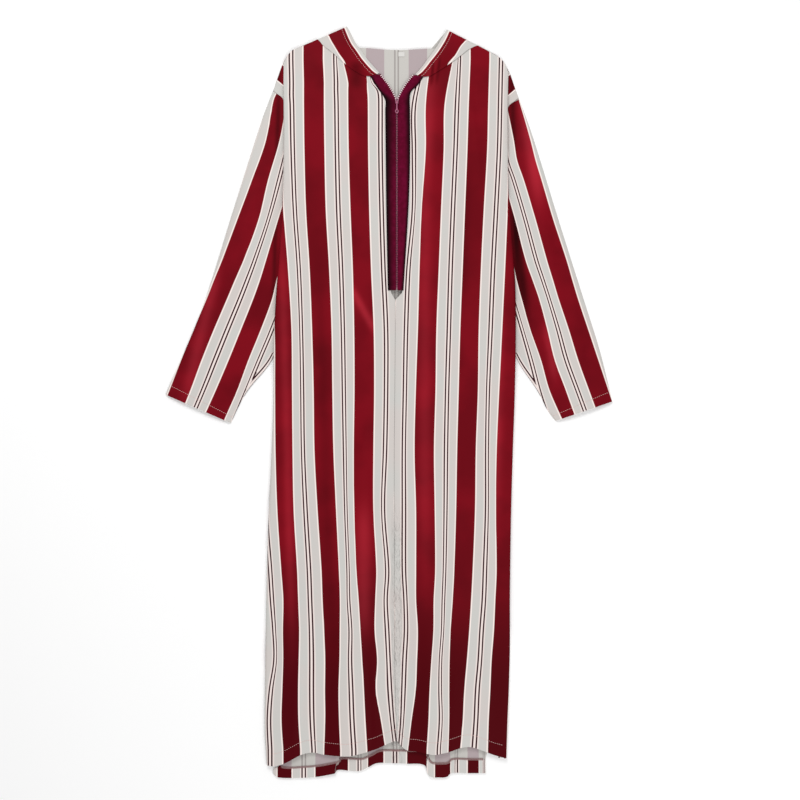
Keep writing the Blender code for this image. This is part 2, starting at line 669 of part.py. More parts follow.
def main():
    for thing in list(bpy.data.objects):
        bpy.data.objects.remove(thing, do_unlink=True)
    robe = bpy.data.collections.new("hooded_robe")
    bpy.context.scene.collection.children.link(robe)
    cloth = make_material("striped_satin", (0.45, 0.08, 0.09), 0.45, 0.0)
    sleeve_cloth = make_material("striped_satin_sleeve", (0.5, 0.1, 0.11), 0.45, 0.0)
    velvet = make_material("burgundy_velvet", (0.11, 0.006, 0.024), 0.9, 0.0)
    tape = make_material("zip_tape", (0.3, 0.12, 0.16), 0.7, 0.0)
    metal = make_material("coated_metal", (0.42, 0.2, 0.24), 0.35, 0.8)
    label = make_material("label_cloth", (0.8, 0.78, 0.76), 0.7, 0.0)
    cutters = bpy.data.collections.new("cutters")
    bpy.context.scene.collection.children.link(cutters)
    skirt, yoke = back_meshes()
    place("back_panel", skirt, cloth, robe)
    place("back_panel_upper", yoke, cloth, robe)
    for side, word in ((-1, "left"), (1, "right")):
        under, top = front_meshes(side)
        place("front_side_" + word, under, cloth, robe)
        place("front_" + word, top, cloth, robe)
        place("sleeve_" + word, sleeve_mesh(side), sleeve_cloth, robe)
        place("hood_" + word, hood_mesh(side), cloth, robe)
        place("placket_" + word, placket_mesh(side), velvet, robe)
        place("zip_" + word, zip_mesh(side), tape, robe)
    make_slider(metal, robe, cutters)
    make_pull(metal, robe, cutters)
    make_label(label, robe)


main()
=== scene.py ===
import math

import bmesh
import bpy
import numpy as np
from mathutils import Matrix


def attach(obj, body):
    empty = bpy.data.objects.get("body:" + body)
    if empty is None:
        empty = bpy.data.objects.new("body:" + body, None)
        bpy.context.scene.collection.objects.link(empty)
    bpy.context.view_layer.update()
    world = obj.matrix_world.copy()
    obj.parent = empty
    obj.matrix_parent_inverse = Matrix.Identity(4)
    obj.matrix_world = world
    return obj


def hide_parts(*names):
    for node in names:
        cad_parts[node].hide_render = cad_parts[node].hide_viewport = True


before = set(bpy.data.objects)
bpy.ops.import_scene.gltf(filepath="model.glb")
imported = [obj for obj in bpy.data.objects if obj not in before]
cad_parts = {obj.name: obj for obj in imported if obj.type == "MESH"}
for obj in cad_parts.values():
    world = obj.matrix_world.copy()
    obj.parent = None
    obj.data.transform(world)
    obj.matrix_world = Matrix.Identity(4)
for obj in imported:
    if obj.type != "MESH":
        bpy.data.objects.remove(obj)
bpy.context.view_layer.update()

mm = 0.001


# small helpers

def soft(value):
    value = np.clip(value, 0.0, 1.0)
    return value * value * (3.0 - 2.0 * value)


def ramp(value, start, length):
    # 0 up to start, 1 from a length further on; a negative length rises the other way
    return soft((value - start) / length)


def mix(a, b, share):
    return a + (b - a) * share


def hexColor(text):
    out = []
    for i in (1, 3, 5):
        c = int(text[i:i + 2], 16) / 255.0
        out.append(c / 12.92 if c <= 0.04045 else ((c + 0.055) / 1.055) ** 2.4)
    return (*out, 1.0)


def addNode(tree, kind, settings=None, inputs=None):
    made = tree.nodes.new(kind)
    for name, value in (settings or {}).items():
        setattr(made, name, value)
    for key, value in (inputs or {}).items():
        if isinstance(value, bpy.types.NodeSocket):
            tree.links.new(value, made.inputs[key])
        else:
            made.inputs[key].default_value = value
    return made


def smoothPoints(points, steps=12):
    pts = np.array(points, float)
    out = []
    for i in range(len(pts) - 1):
        before, start, end, after = pts[max(i - 1, 0)], pts[i], pts[i + 1], pts[min(i + 2, len(pts) - 1)]
        length = np.linalg.norm(end - start)
        leadIn = (end - before) * length / max(np.linalg.norm(end - before), 1e-6)
        leadOut = (after - start) * length / max(np.linalg.norm(after - start), 1e-6)
        t = (np.arange(steps) / steps)[:, None]
        out.append(start * (2 * t**3 - 3 * t**2 + 1) + leadIn * (t**3 - 2 * t**2 + t)
                   + end * (3 * t**2 - 2 * t**3) + leadOut * (t**3 - t**2))
    out.append(pts[-1:])
    return np.concatenate(out)


def makeLine(points, smooth=True, afterCorner=None):
    pts = smoothPoints(points) if smooth else np.array(points, float)
    corner = len(pts) - 1
    if afterCorner is not None:
        pts = np.concatenate([pts, smoothPoints(afterCorner)[1:]])
    steps = np.linalg.norm(np.diff(pts, axis=0), axis=1)
    lengths = np.concatenate([[0.0], np.cumsum(steps)])
    total = lengths[-1]
    return {"points": pts, "share": lengths / total, "total": total, "corner": lengths[corner] / total}


def onLine(line, share):
    pts = line["points"]
    return np.stack([np.interp(share, line["share"], pts[:, k]) for k in range(pts.shape[1])], -1)


def sheetPatch(bottom, top, left, right, u, v):
    b, t, l, r = onLine(bottom, u), onLine(top, u), onLine(left, v), onLine(right, v)
    uu, vv = u[None, :, None], v[:, None, None]
    edges = mix(b[None], t[None], vv) + mix(l[:, None], r[:, None], uu)
    low, high = bottom["points"], top["points"]
    corners = mix(mix(low[0], low[-1], uu), mix(high[0], high[-1], uu), vv)
    return edges - corners


def acrossAt(line, y):
    order = np.argsort(line[:, 1])
    return np.interp(y, line[order, 1], line[order, 0])


foldShape = {"footFade": 0.4, "headEarly": 0.12, "headFade": 0.3, "spread": 0.62}  # shares of its size


def foldSum(x, y, folds):
    # each fold: x0, y0, x1, y1, half width on its left, on its right, height, bow
    shape = foldShape
    total = np.zeros_like(x)
    for x0, y0, x1, y1, wideLeft, wideRight, height, bow in folds:
        length = math.hypot(x1 - x0, y1 - y0)
        ax, ay = (x1 - x0) / length, (y1 - y0) / length
        share = ((x - x0) * ax + (y - y0) * ay) / length
        side = (x - x0) * ay - (y - y0) * ax - bow * np.sin(np.pi * np.clip(share, 0, 1))
        wide = np.where(side < 0, wideLeft, wideRight)
        fade = ramp(share, 1.0, -shape["footFade"]) * ramp(share, -shape["headEarly"], shape["headFade"])
        total += height * fade * np.exp(-(side / (shape["spread"] * wide)) ** 2)
    return total


# painted light and shade on the red: painted highlights along ridges, painted shadow under the hood band and
# beside the creases; a fold's eight numbers, the height in doublings
paintedLightAndShade = [
    (-206, 330, -182, -620, 16, 16, 0.5, 0), (-136, 260, -108, -520, 18, 18, -0.35, 0),
    (-64, 648, -62, 590, 20, 20, -0.8, 0), (82, 648, 78, 596, 4, 4, -0.8, 0),
    (95, 655, 88, 600, 4, 4, -0.7, 0), (-209, 700, -226, -10, 7, 7, -1.1, 0),
    (230, 700, 246, 0, 8, 8, -1.1, 0), (-78, 225, -14, 110, 13, 13, 0.8, 0),
    (-50, -190, -50, -500, 26, 26, 0.6, 0), (80, 770, 66, 380, 26, 26, 0.5, 0),
    (66, 520, 66, -520, 24, 24, 0.45, 0), (140, 460, 134, 110, 20, 20, -0.4, 0),
    (200, 420, 196, -330, 26, 26, 0.8, 0), (-325, 270, -405, -60, 22, 22, 0.55, 0),
    (250, 620, 292, 330, 24, 24, 0.9, 0), (234, 390, 262, 130, 13, 14, -1.9, 0),
    (296, 150, 318, 20, 16, 16, 0.6, 0),
]


def placeObject(name, data, sharpFrom=None):
    if sharpFrom:
        data.shade_smooth()
        data.set_sharp_from_angle(angle=math.radians(sharpFrom))
    thing = bpy.data.objects.new(name, data)
    bpy.context.scene.collection.objects.link(thing)
    return thing


def meshData(name, built):
    data = bpy.data.meshes.new(name)
    built.to_mesh(data)
    built.free()
    return data


def pointValues(data, name, values):
    values = np.array(values, float)
    kind, key = ("FLOAT_VECTOR", "vector") if values.shape[-1] == 3 else ("FLOAT", "value")
    data.attributes.new(name, kind, "POINT").data.foreach_set(key, values.ravel())


def gridMesh(name, outside, inside, across, facing, closed=False):
    # two layers of points joined at their rims; closed rows are rings, and facing says which way is out
    rows, cols = outside.shape[:2]
    count = rows * cols
    index = np.arange(count).reshape(rows, cols)
    nextCol = np.roll(index, -1, axis=1)
    spans = cols if closed else cols - 1
    a, b = index[:-1, :spans], nextCol[:-1, :spans]
    d, c = index[1:, :spans], nextCol[1:, :spans]
    quads = [np.stack([a, b, c, d], -1).reshape(-1, 4), np.stack([d, c, b, a], -1).reshape(-1, 4) + count]
    rims = [(nextCol[row, :spans], index[row, :spans]) for row in (0, -1)]
    if not closed:
        rims += [(index[:-1, col], index[1:, col]) for col in (0, -1)]
    for k, (p, q) in enumerate(rims):
        quads.append(np.stack([p, q, q + count, p + count], -1)[:, ::-1 if k % 2 else 1])
    faces = np.concatenate(quads)
    if facing < 0:
        faces = faces[:, ::-1]
    mesh = bpy.data.meshes.new(name)
    mesh.from_pydata(np.concatenate([outside, inside]).reshape(-1, 3) * mm, [], faces.tolist())
    wrong = np.ones((rows, cols))
    wrong[0] = 0.0
    if closed:
        wrong[-1] = 0.0
    else:
        wrong[:, [0, -1]] = 0.0
    # mm across the stripes, mm along them, and 1 on the wrong side
    sides = [np.stack([across, outside[..., 1], flag], -1).reshape(-1, 3) for flag in (0.0 * wrong, wrong)]
    pointValues(mesh, "cloth", np.concatenate(sides))
    # painted light and shade: how much the listed patches brighten or darken the red at each point
    tone = foldSum(outside[..., 0], outside[..., 1], paintedLightAndShade).ravel()
    pointValues(mesh, "paintedLightAndShade", np.concatenate([tone, tone]))  # in doublings of the red's brightness
    return placeObject(name, mesh, 50)


def clothShell(name, outside, across, thickness, facing, closed=False):
    # the inner layer lies a thickness away, square to the outer one
    alongRow = np.gradient(outside, axis=1)
    if closed:
        alongRow = np.roll(outside, -1, axis=1) - np.roll(outside, 1, axis=1)
    normal = np.cross(alongRow, np.gradient(outside, axis=0))
    normal = normal / np.maximum(np.linalg.norm(normal, axis=2, keepdims=True), 1e-9)
    thickness = np.broadcast_to(thickness, outside.shape[:2])
    inside = outside - normal * facing * thickness[..., None]
    return gridMesh(name, outside, inside, across, facing, closed)


def finishPiece(thing, material, body, replaced=()):
    thing.data.materials.clear()
    thing.data.materials.append(material)
    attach(thing, body)
    if replaced:
        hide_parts(*replaced)
    return thing


# the robe's outline, in mm, the same as the solids

outline = {
    "creaseLeft": [
        (-234, -690), (-238, -622), (-237, -499), (-235, -375), (-231, -223), (-225, -90), (-222, 1),
        (-220.5, 128), (-216.5, 204), (-207, 328), (-203, 423), (-202, 537), (-202.5, 605), (-202, 648)],
    "creaseRight": [
        (222, -676), (225, -603), (228, -470), (228, -375), (230, -223), (234, -81), (237, 5), (239, 128),
        (238, 223), (231, 318), (225, 404), (224, 508), (224, 575), (225, 630)],
    "sideLeft": [
        (-219.5, -650), (-220, -622), (-219, -499), (-217, -375), (-213, -223), (-207, -90), (-204, 1),
        (-199, 85), (-149, 309)],
    "sideRight": [
        (205, -650), (207, -603), (210, -470), (210, -375), (211, -223), (215, -81), (219, 5), (219, 85),
        (171, 295)],
    "armholeLeft": [(-149, 309), (-160, 385), (-179, 480), (-202, 572), (-222, 592)],
    "armholeRight": [(171, 295), (182, 385), (201, 472), (224, 558), (245, 578)],
    "shoulderLeft": [(-202, 648), (-191, 664), (-183, 671), (-165, 678), (-138, 690)],
    "shoulderRight": [(225, 630), (218, 644), (210, 654), (190, 666), (167, 678.5)],
    "neckLeft": [
        (-138, 690), (-125, 678.5), (-108, 665.5), (-86, 645.5), (-66, 631), (-48, 621.5), (-29.5, 617.5)],
    "neckRight": [
        (167, 678.5), (148, 671.5), (129, 656.5), (108, 641.5), (89, 629.5), (73, 620.5), (56.5, 615)],
    "centreLeft": [
        (13, -643), (11, -584), (9, -489), (8, -375), (8, -223), (8, -90), (9, 5), (10, 138), (10, 195),
        (2, 209), (1, 385), (0, 569), (-12, 590), (-29.5, 617.5)],
    "centreRight": [
        (13, -643), (11, -584), (9, -489), (8, -375), (8, -223), (8, -90), (9, 5), (10, 138), (10, 195),
        (23.5, 209), (24.5, 385), (27, 569), (38, 588), (56.5, 615)],
    "hemLeft": [
        (-234, -690), (-219, -691), (-199, -685), (-168, -669), (-146, -665), (-126, -669), (-84, -672),
        (-63, -669), (-28, -659), (-10, -651), (4, -645), (13, -643)],
    "hemRight": [
        (222, -676), (199, -670), (180, -663), (155, -655), (136, -656), (112, -664), (98, -667),
        (82, -669), (52, -663), (33, -661), (24, -655), (13, -643)],
    "backTop": [
        (-222, 592), (-215, 615), (-202, 649), (-191, 664.5), (-165, 679), (-146, 685), (-133, 680),
        (-86, 676), (-48, 674), (10, 670), (80, 673), (124, 674), (158, 676), (175, 674), (190, 667),
        (210, 655), (226, 630), (238, 598), (245, 578)],
    "backHem": [
        (-222, -707), (-213, -713), (-175, -714), (-141, -712), (-112, -707), (-105, -705), (-100, -699),
        (-80, -700), (-59, -701), (-42, -694), (-25, -686), (10, -686), (32, -687), (66, -690), (72, -707),
        (78, -712), (91, -713), (108, -712), (116, -705), (148, -705), (182, -705)],
    "cornerLeft": [(-222, -707), (-220.5, -695), (-211, -693), (-212, -684)],
    "cornerRight": [(182, -705), (184, -668), (200, -655)],
    "sleeveOutLeft": [(-222, 592), (-243, 539), (-296, 373), (-359, 175), (-427, 15)],
    "sleeveInLeft": [(-149, 309), (-188, 195), (-223, 85), (-270, 24), (-287, -5), (-303, -39)],
    "sleeveOutRight": [(245, 578), (272, 504), (320, 349), (369, 194), (398, 102), (423, 2)],
    "sleeveInRight": [(171, 295), (207, 189), (240, 86), (282, 20), (301, -17), (315, -35)],
}
levels = {
    "panel": 1.5, "light": 1.2, "hem": 2.4, "hemDepth": 25.0, "hemStep": 4.0, "layerGap": 0.5, "seamGap": 0.3,
    "sideSeamGap": 0.8, "hoodStack": 3.6, "sleeveStack": 3.6, "sideTurn": 9.5, "frontTop": 10.2,
    "shoulderTurn": 4.2, "shoulderFlap": 3.9, "placketTop": 10.0, "hoodCentre": 9.0,
}
levels["overHood"] = levels["hoodStack"] + levels["layerGap"]
levels["overSleeve"] = levels["sleeveStack"] + levels["layerGap"]
levels["bandTop"] = levels["overHood"] + 2 * levels["panel"] + levels["layerGap"]
word = {-1: "left", 1: "right"}
end = {-1: "Left", 1: "Right"}
seamUp, creaseUp = {}, {}
for side in (-1, 1):
    seamUp[side] = smoothPoints(outline["side" + end[side]] + outline["armhole" + end[side]][1:])
    creaseUp[side] = smoothPoints(outline["crease" + end[side]])


def bothSides(make, *nodes):
    made = {}
    for side in (-1, 1):
        made[side] = make(side)
        finishPiece(made[side][0], satin, "robe", [node + word[side] for node in nodes])
    return made


# where the stripes run on the fronts: y, then x of the red stripes' edges and of the line pairs' middles
stripes = {
    "repeat": 82.0, "redHalf": 18.0, "pairOffset": 3.2, "pairHalf": 1.35,
    "redSoft": 0.5, "cream": (1.1, 0.7, 1.8), "pairSoft": (0.35, 0.45), "between": (2.0, 5.0),
    "placesLeft": (-41.0, -18.0, 18.0, 41.0, 64.0, 100.0, 123.0, 146.0, 182.0, 205.0),
    "placesRight": (-41.0, -18.0, 18.0, 41.0, 64.0, 100.0, 123.0, 146.0),
    "left": [
        (651, -269.5, -247.5, -213, -188, -164.5, -127.5, -103.5, -89.5, -44.5, -43.5),
        (609, -268, -246, -211.5, -187, -163.5, -125.5, -102.5, -79.5, -43.5, -34),
        (594, -268, -246, -211.5, -187, -163.5, -125.5, -102.5, -79.5, -43.5, -21.5),
        (582, -268, -246, -211.5, -187, -163.5, -125.5, -102, -79.5, -42.5, -18.5),
        (565, -267.5, -245.5, -211, -186, -163.5, -125.5, -101.5, -79.5, -42, -18),
        (480, -265, -243, -208.5, -184.5, -162.5, -124.5, -100.5, -78.5, -41.5, -18),
        (366, -259, -237, -202.5, -180.5, -159.5, -122, -98, -75, -39.5, -16),
        (252, -250, -228.5, -193.5, -173, -152.5, -115.5, -93, -70.5, -36, -12.5),
        (138, -243.5, -218.5, -187, -169, -148, -111, -89.5, -68, -31, -7.5),
        (24, -242.5, -218, -186, -167, -145, -109.5, -87.5, -67.5, -30, -7.5),
        (-90, -239, -217.5, -185, -165.5, -143.5, -107.5, -85.5, -69, -31.5, -9.5),
        (-204, -236, -214, -183, -160.5, -137.5, -102.5, -83.5, -68, -31.5, -13.5),
        (-318, -227.5, -206.5, -176.5, -154, -130, -97, -79.5, -64, -26, -5.5),
        (-375, -224, -202.5, -174.5, -152, -128, -95, -79, -59.5, -28, -8.5),
        (-432, -219.5, -203.5, -172.5, -150, -125, -95.5, -75, -56, -29.5, -5.5),
        (-489, -217.5, -203, -173.5, -149, -123, -96, -76, -52.5, -24.5, -3),
        (-546, -226, -204.5, -174.5, -149, -123.5, -98, -74, -49, -27.5, 0),
        (-603, -230, -206, -174, -148, -123, -97, -72, -46.5, -17.5, 4),
        (-660, -228, -202.5, -170.5, -144.5, -125, -94.5, -68.5, -43, -8.5, 10.5)],
    "right": [
        (651, 66.5, 77, 119.5, 131, 153, 189, 211, 233.5),
        (565, 45.5, 68, 103.5, 127.5, 149.5, 186.5, 209, 231),
        (480, 45.5, 68, 102, 124.5, 147, 184.5, 207, 229),
        (366, 45.5, 60, 97, 119.5, 142.5, 178, 201.5, 223.5),
        (252, 35, 56, 92.5, 115, 138, 172.5, 195.5, 218.5),
        (138, 30.5, 53, 88, 112, 133.5, 168.5, 191, 213),
        (24, 28.5, 49, 86.5, 108.5, 130.5, 167, 186, 207.5),
        (-90, 26.5, 46.5, 83.5, 106.5, 127.5, 163, 184.5, 202.5),
        (-204, 26.5, 49.5, 85, 105.5, 125.5, 161.5, 184.5, 201),
        (-318, 26.5, 49.5, 86, 103.5, 122, 157, 180.5, 202.5),
        (-375, 29.5, 49.5, 83, 101.5, 119, 154, 178.5, 200),
        (-432, 30.5, 53, 82.5, 100, 115, 150.5, 174, 197.5),
        (-489, 27.5, 51.5, 78.5, 96, 113, 146, 171, 193),
        (-546, 25.5, 49, 75, 95.5, 112.5, 141, 166, 190.5),
        (-603, 23.5, 41, 73, 97, 112.5, 138, 163.5, 187.5), (-660, 19, 34, 69.5, 93, 111, 133, 159.5, 186)],
}


def stripeAcross(x, y, table, places):
    rows = np.array(table, float)
    rows = smoothPoints(rows[np.argsort(rows[:, 0])], 6)
    lines = [np.interp(y, rows[:, 0], rows[:, k]) for k in range(1, rows.shape[1])]
    out = np.zeros_like(x)
    for k in range(len(lines) - 1):
        slope = (places[k + 1] - places[k]) / (lines[k + 1] - lines[k])
        value = places[k] + (x - lines[k]) * slope
        out = np.where(x >= lines[k], value, out)
    out = np.where(x < lines[0], places[0] + x - lines[0], out)
    return np.where(x > lines[-1], places[-1] + x - lines[-1], out)


# how the layers below lift the cloth above them, and where: the hood's bulge, sleeve heads, shoulders, zip
riseShape = {
    "hoodHalf": 168.0, "hoodY": 590.0, "hoodDrop": 238.0, "hoodFade": 0.22,
    "armRise": (85.0, 60.0), "armEnd": (309.0, -40.0), "armIn": 30.0,
    "flapRise": (10.0, 75.0), "flapTop": (590.0, 40.0), "turnTop": (560.0, 70.0), "bandRise": (575.0, 42.0),
}


def backFloor(x, y):
    rise = riseShape
    reach = np.hypot((x - levels["hoodCentre"]) / rise["hoodHalf"],
                     np.minimum(y - rise["hoodY"], 0.0) / rise["hoodDrop"])
    height = levels["overHood"] * (1.0 - ramp(reach, 1.0, rise["hoodFade"]))
    arm = ramp(y, *rise["armRise"]) * ramp(y, *rise["armEnd"])
    near = np.minimum(x - acrossAt(seamUp[-1], y), acrossAt(seamUp[1], y) - x)
    return height + levels["overSleeve"] * arm * (1.0 - soft(near / rise["armIn"]))


def flapFloor(y):
    low = levels["overSleeve"] * ramp(y, *riseShape["flapRise"])
    return mix(low, levels["shoulderFlap"], ramp(y, *riseShape["flapTop"]))


def turnHeight(y):
    return mix(levels["sideTurn"], levels["shoulderTurn"], ramp(y, *riseShape["turnTop"]))


def placketLevel(y):
    return mix(levels["placketTop"], levels["bandTop"], ramp(y, *riseShape["bandRise"]))


def hemThickness(fromHem, columns):
    thick = mix(levels["hem"], levels["panel"], ramp(fromHem, levels["hemDepth"], levels["hemStep"]))
    return thick[:, None] * np.ones((1, columns))


def rowAt(distances, wanted):
    return int(np.argmin(np.abs(distances - wanted)))


# materials

def newMaterial(name):
    material = bpy.data.materials.new(name)
    material.use_nodes = True
    tree = material.node_tree
    return material, tree, tree.nodes["Principled BSDF"]


def rangeNode(tree, value, low, high, start=1.0, stop=0.0):
    return addNode(tree, "ShaderNodeMapRange", {"interpolation_type": "SMOOTHSTEP"}, {
        "Value": value, "From Min": low, "From Max": high, "To Min": start, "To Max": stop}).outputs["Result"]


def mathNode(tree, operation, a, b=0.0):
    return addNode(tree, "ShaderNodeMath", {"operation": operation}, {0: a, 1: b}).outputs[0]


def awayFrom(tree, value, middle):
    return mathNode(tree, "ABSOLUTE", mathNode(tree, "SUBTRACT", value, middle))


def mixColor(tree, share, a, b):
    a, b = [hexColor(c) if isinstance(c, str) else c for c in (a, b)]
    return addNode(tree, "ShaderNodeMix", {"data_type": "RGBA"}, {0: share, 6: a, 7: b}).outputs[2]


def noiseNode(tree, place, scale, detail, roughness=0.5):
    return addNode(tree, "ShaderNodeTexNoise", inputs={
        "Vector": place, "Scale": scale, "Detail": detail, "Roughness": roughness}).outputs["Fac"]


def scaleNode(tree, place, scale):
    return addNode(tree, "ShaderNodeMapping", inputs={"Vector": place, "Scale": scale}).outputs[0]


def bumpNode(tree, height, strength, distance, over=None):
    inputs = {"Height": height, "Strength": strength, "Distance": distance}
    if over is not None:
        inputs["Normal"] = over
    return addNode(tree, "ShaderNodeBump", inputs=inputs).outputs[0]


def objectPlace(tree):
    return addNode(tree, "ShaderNodeTexCoord").outputs["Object"]


def splitNode(tree, vector):
    return addNode(tree, "ShaderNodeSeparateXYZ", inputs={0: vector}).outputs


def finishShader(tree, shader, tone, normal, values):
    tree.links.new(tone, shader.inputs["Base Color"])
    tree.links.new(normal, shader.inputs["Normal"])
    for name, value in values.items():
        shader.inputs[name].default_value = value


# places in metres, the rest in mm; the real threads are finer than a pixel, so the weave is drawn at 0.7 mm
satinLook = {
    "red": "#7c0b19", "redDark": "#690814", "redPaintedHemShade": "#4e040c", "paintedHighlight": "#c4525f", "paintedHighlightMost": 0.12,
    "white": "#c9c8c4", "whiteWarm": "#cdc6c2", "pairWhite": "#eee0db", "pairDark": "#330f18",
    "edgeCream": "#fbece6", "wrongRed": "#b0a2a4", "wrongWhite": "#c4c1bc", "wrongPair": "#a19b98",
    "threadMm": 0.7, "crumpleMm": 26.0, "cloudScale": 9.0, "hemFrom": -0.22, "hemTo": -0.55,
    "seamX": 0.0135, "pucker": (0.002, 0.013), "puckerY": (-0.26, -0.16), "puckerScale": (125.0, 60.0, 0.0),
    "shader": {"Roughness": 0.55, "IOR": 1.14, "Specular IOR Level": 0.3},
}


def stripedSatin():
    # woven polyester satin: smooth face with a soft lustre, paler and duller wrong side
    look = satinLook
    material, tree, shader = newMaterial("stripedPolyesterSatin")
    pattern = addNode(tree, "ShaderNodeAttribute", {"attribute_name": "cloth"}).outputs["Vector"]
    place = objectPlace(tree)
    parts, placeParts = splitNode(tree, pattern), splitNode(tree, place)
    across, wrong, x, y = parts[0], parts[2], placeParts[0], placeParts[1]
    half = stripes["redHalf"]
    fromRed = mathNode(tree, "PINGPONG", across, stripes["repeat"] / 2)
    fromPair = mathNode(tree, "SUBTRACT", stripes["repeat"] / 2, fromRed)
    red = rangeNode(tree, fromRed, half - stripes["redSoft"], half + stripes["redSoft"])
    away, low, high = stripes["cream"]
    cream = rangeNode(tree, awayFrom(tree, fromRed, half + away), low, high, 0.95)
    low, high = stripes["pairSoft"]
    pairAway = awayFrom(tree, fromPair, stripes["pairOffset"])
    pair = rangeNode(tree, pairAway, stripes["pairHalf"] - low, stripes["pairHalf"] + high)
    low, high = stripes["between"]
    between = rangeNode(tree, fromPair, stripes["pairOffset"] + low, stripes["pairOffset"] + high)
    cloudShare = rangeNode(tree, noiseNode(tree, place, look["cloudScale"], 3.0), 0.35, 0.65, 0.0, 1.0)
    redTone = mixColor(tree, cloudShare, look["red"], look["redDark"])
    # painted shade: the red darkens towards the hem
    redTone = mixColor(tree, rangeNode(tree, y, look["hemTo"], look["hemFrom"]), redTone, look["redPaintedHemShade"])
    # painted light and shade: the red is scaled by two to the power of the patch value
    paintedLightValue = addNode(tree, "ShaderNodeAttribute", {"attribute_name": "paintedLightAndShade"}).outputs["Fac"]
    redTone = addNode(tree, "ShaderNodeVectorMath", {"operation": "SCALE"}, {
        0: redTone, "Scale": mathNode(tree, "POWER", 2.0, paintedLightValue)}).outputs[0]
    # painted highlight: where the patches brighten the red, it turns pinker, up to the given share
    redTone = mixColor(tree, rangeNode(tree, paintedLightValue, 0.0, 1.0, 0.0, look["paintedHighlightMost"]), redTone, look["paintedHighlight"])
    tone = mixColor(tree, cloudShare, look["white"], look["whiteWarm"])
    for share, over in ((between, "pairWhite"), (cream, "edgeCream"), (pair, "pairDark")):
        tone = mixColor(tree, share, tone, look[over])
    tone = mixColor(tree, red, tone, redTone)
    wrongTone = mixColor(tree, pair, look["wrongWhite"], look["wrongPair"])
    wrongTone = mixColor(tree, red, wrongTone, look["wrongRed"])
    tone = mixColor(tree, wrong, tone, wrongTone)
    thread = 1.0 / look["threadMm"]
    threads = noiseNode(tree, scaleNode(tree, pattern, (thread, 0.12 * thread, 0.0)), 1.0, 1.0)
    crumple = noiseNode(tree, place, 1000.0 / look["crumpleMm"], 3.0, 0.45)
    normal = bumpNode(tree, threads, 0.15, 0.0002)
    normal = bumpNode(tree, crumple, 0.5, 0.0014, normal)
    # the centre seam of the fronts puckers below the zip
    near = mathNode(tree, "MULTIPLY", rangeNode(tree, awayFrom(tree, x, look["seamX"]), *look["pucker"]),
                    rangeNode(tree, y, *look["puckerY"]))
    ripple = noiseNode(tree, scaleNode(tree, place, look["puckerScale"]), 1.0, 2.0)
    normal = bumpNode(tree, mathNode(tree, "MULTIPLY", ripple, near), 1.0, 0.008, normal)
    finishShader(tree, shader, tone, normal, look["shader"])
    return material


velvetLook = {
    "pile": "#580622", "pileLight": "#690a2e", "pilePaintedShade": "#12060a",
    "shader": {"Roughness": 0.95, "Specular IOR Level": 0.05, "Sheen Weight": 0.08, "Sheen Roughness": 0.35,
               "Sheen Tint": hexColor("#7a2040")},
}


def burgundyVelvet():
    # cut-pile velvet: deep colour face on, with painted shade darkening the strip's outer edge
    look = velvetLook
    material, tree, shader = newMaterial("burgundyCutPileVelvet")
    pattern = addNode(tree, "ShaderNodeAttribute", {"attribute_name": "cloth"}).outputs["Vector"]
    place = objectPlace(tree)
    pileShare = rangeNode(tree, noiseNode(tree, place, 120.0, 3.0), 0.35, 0.7, 0.0, 0.8)
    tone = mixColor(tree, pileShare, look["pile"], look["pileLight"])
    paintedShadeMask = rangeNode(tree, splitNode(tree, pattern)[0], 0.0, 1.0)  # 1 at the outer edge of the strip
    # painted shade: the pile turns near black towards the strip's outer edge
    tone = mixColor(tree, paintedShadeMask, tone, look["pilePaintedShade"])
    normal = bumpNode(tree, noiseNode(tree, place, 2200.0, 1.0), 0.4, 0.0003)
    finishShader(tree, shader, tone, normal, look["shader"])
    return material


def plainMaterial(name, color, second, roughness, metallic=0.0, grainMm=1.0, grain=0.1):
    material, tree, shader = newMaterial(name)
    noise = noiseNode(tree, objectPlace(tree), 1000.0 / grainMm, 2.0)
    finishShader(tree, shader, mixColor(tree, noise, color, second), bumpNode(tree, noise, grain, 0.0002),
                 {"Roughness": roughness, "Metallic": metallic})
    return material


satin = stripedSatin()
velvet = burgundyVelvet()
paleThread = plainMaterial("paleSpunPolyesterThread", "#dba9a6", "#e8c6c0", 0.7)  # matt twisted thread
overlockThread = plainMaterial("greyPinkOverlockThread", "#b09492", "#6a3c40", 0.75)
tapeCloth = plainMaterial("wovenZipTape", "#4e0e28", "#5c1430", 0.85)  # plain woven tape, matt
teethPlastic = plainMaterial("mouldedAcetalTeeth", "#a03c5e", "#b05474", 0.5)  # smooth moulded plastic
# painted highlight: the open teeth are the same teeth as below, drawn pale where their heads catch the light
paleHighlightTeeth = plainMaterial("acetalTeethPaintedHighlight", "#efdcdf", "#e4c8ce", 0.5)  # the same teeth, their pale heads
pullMetal = plainMaterial("paintedZincAlloy", "#98506a", "#a86480", 0.45, 0.2, 3.0, 0.05)  # die-cast, painted
labelCloth = plainMaterial("wovenTaffetaLabel", "#d8d6d2", "#cfccc8", 0.7)  # plain bare label tape
print("materials ready")


# fronts

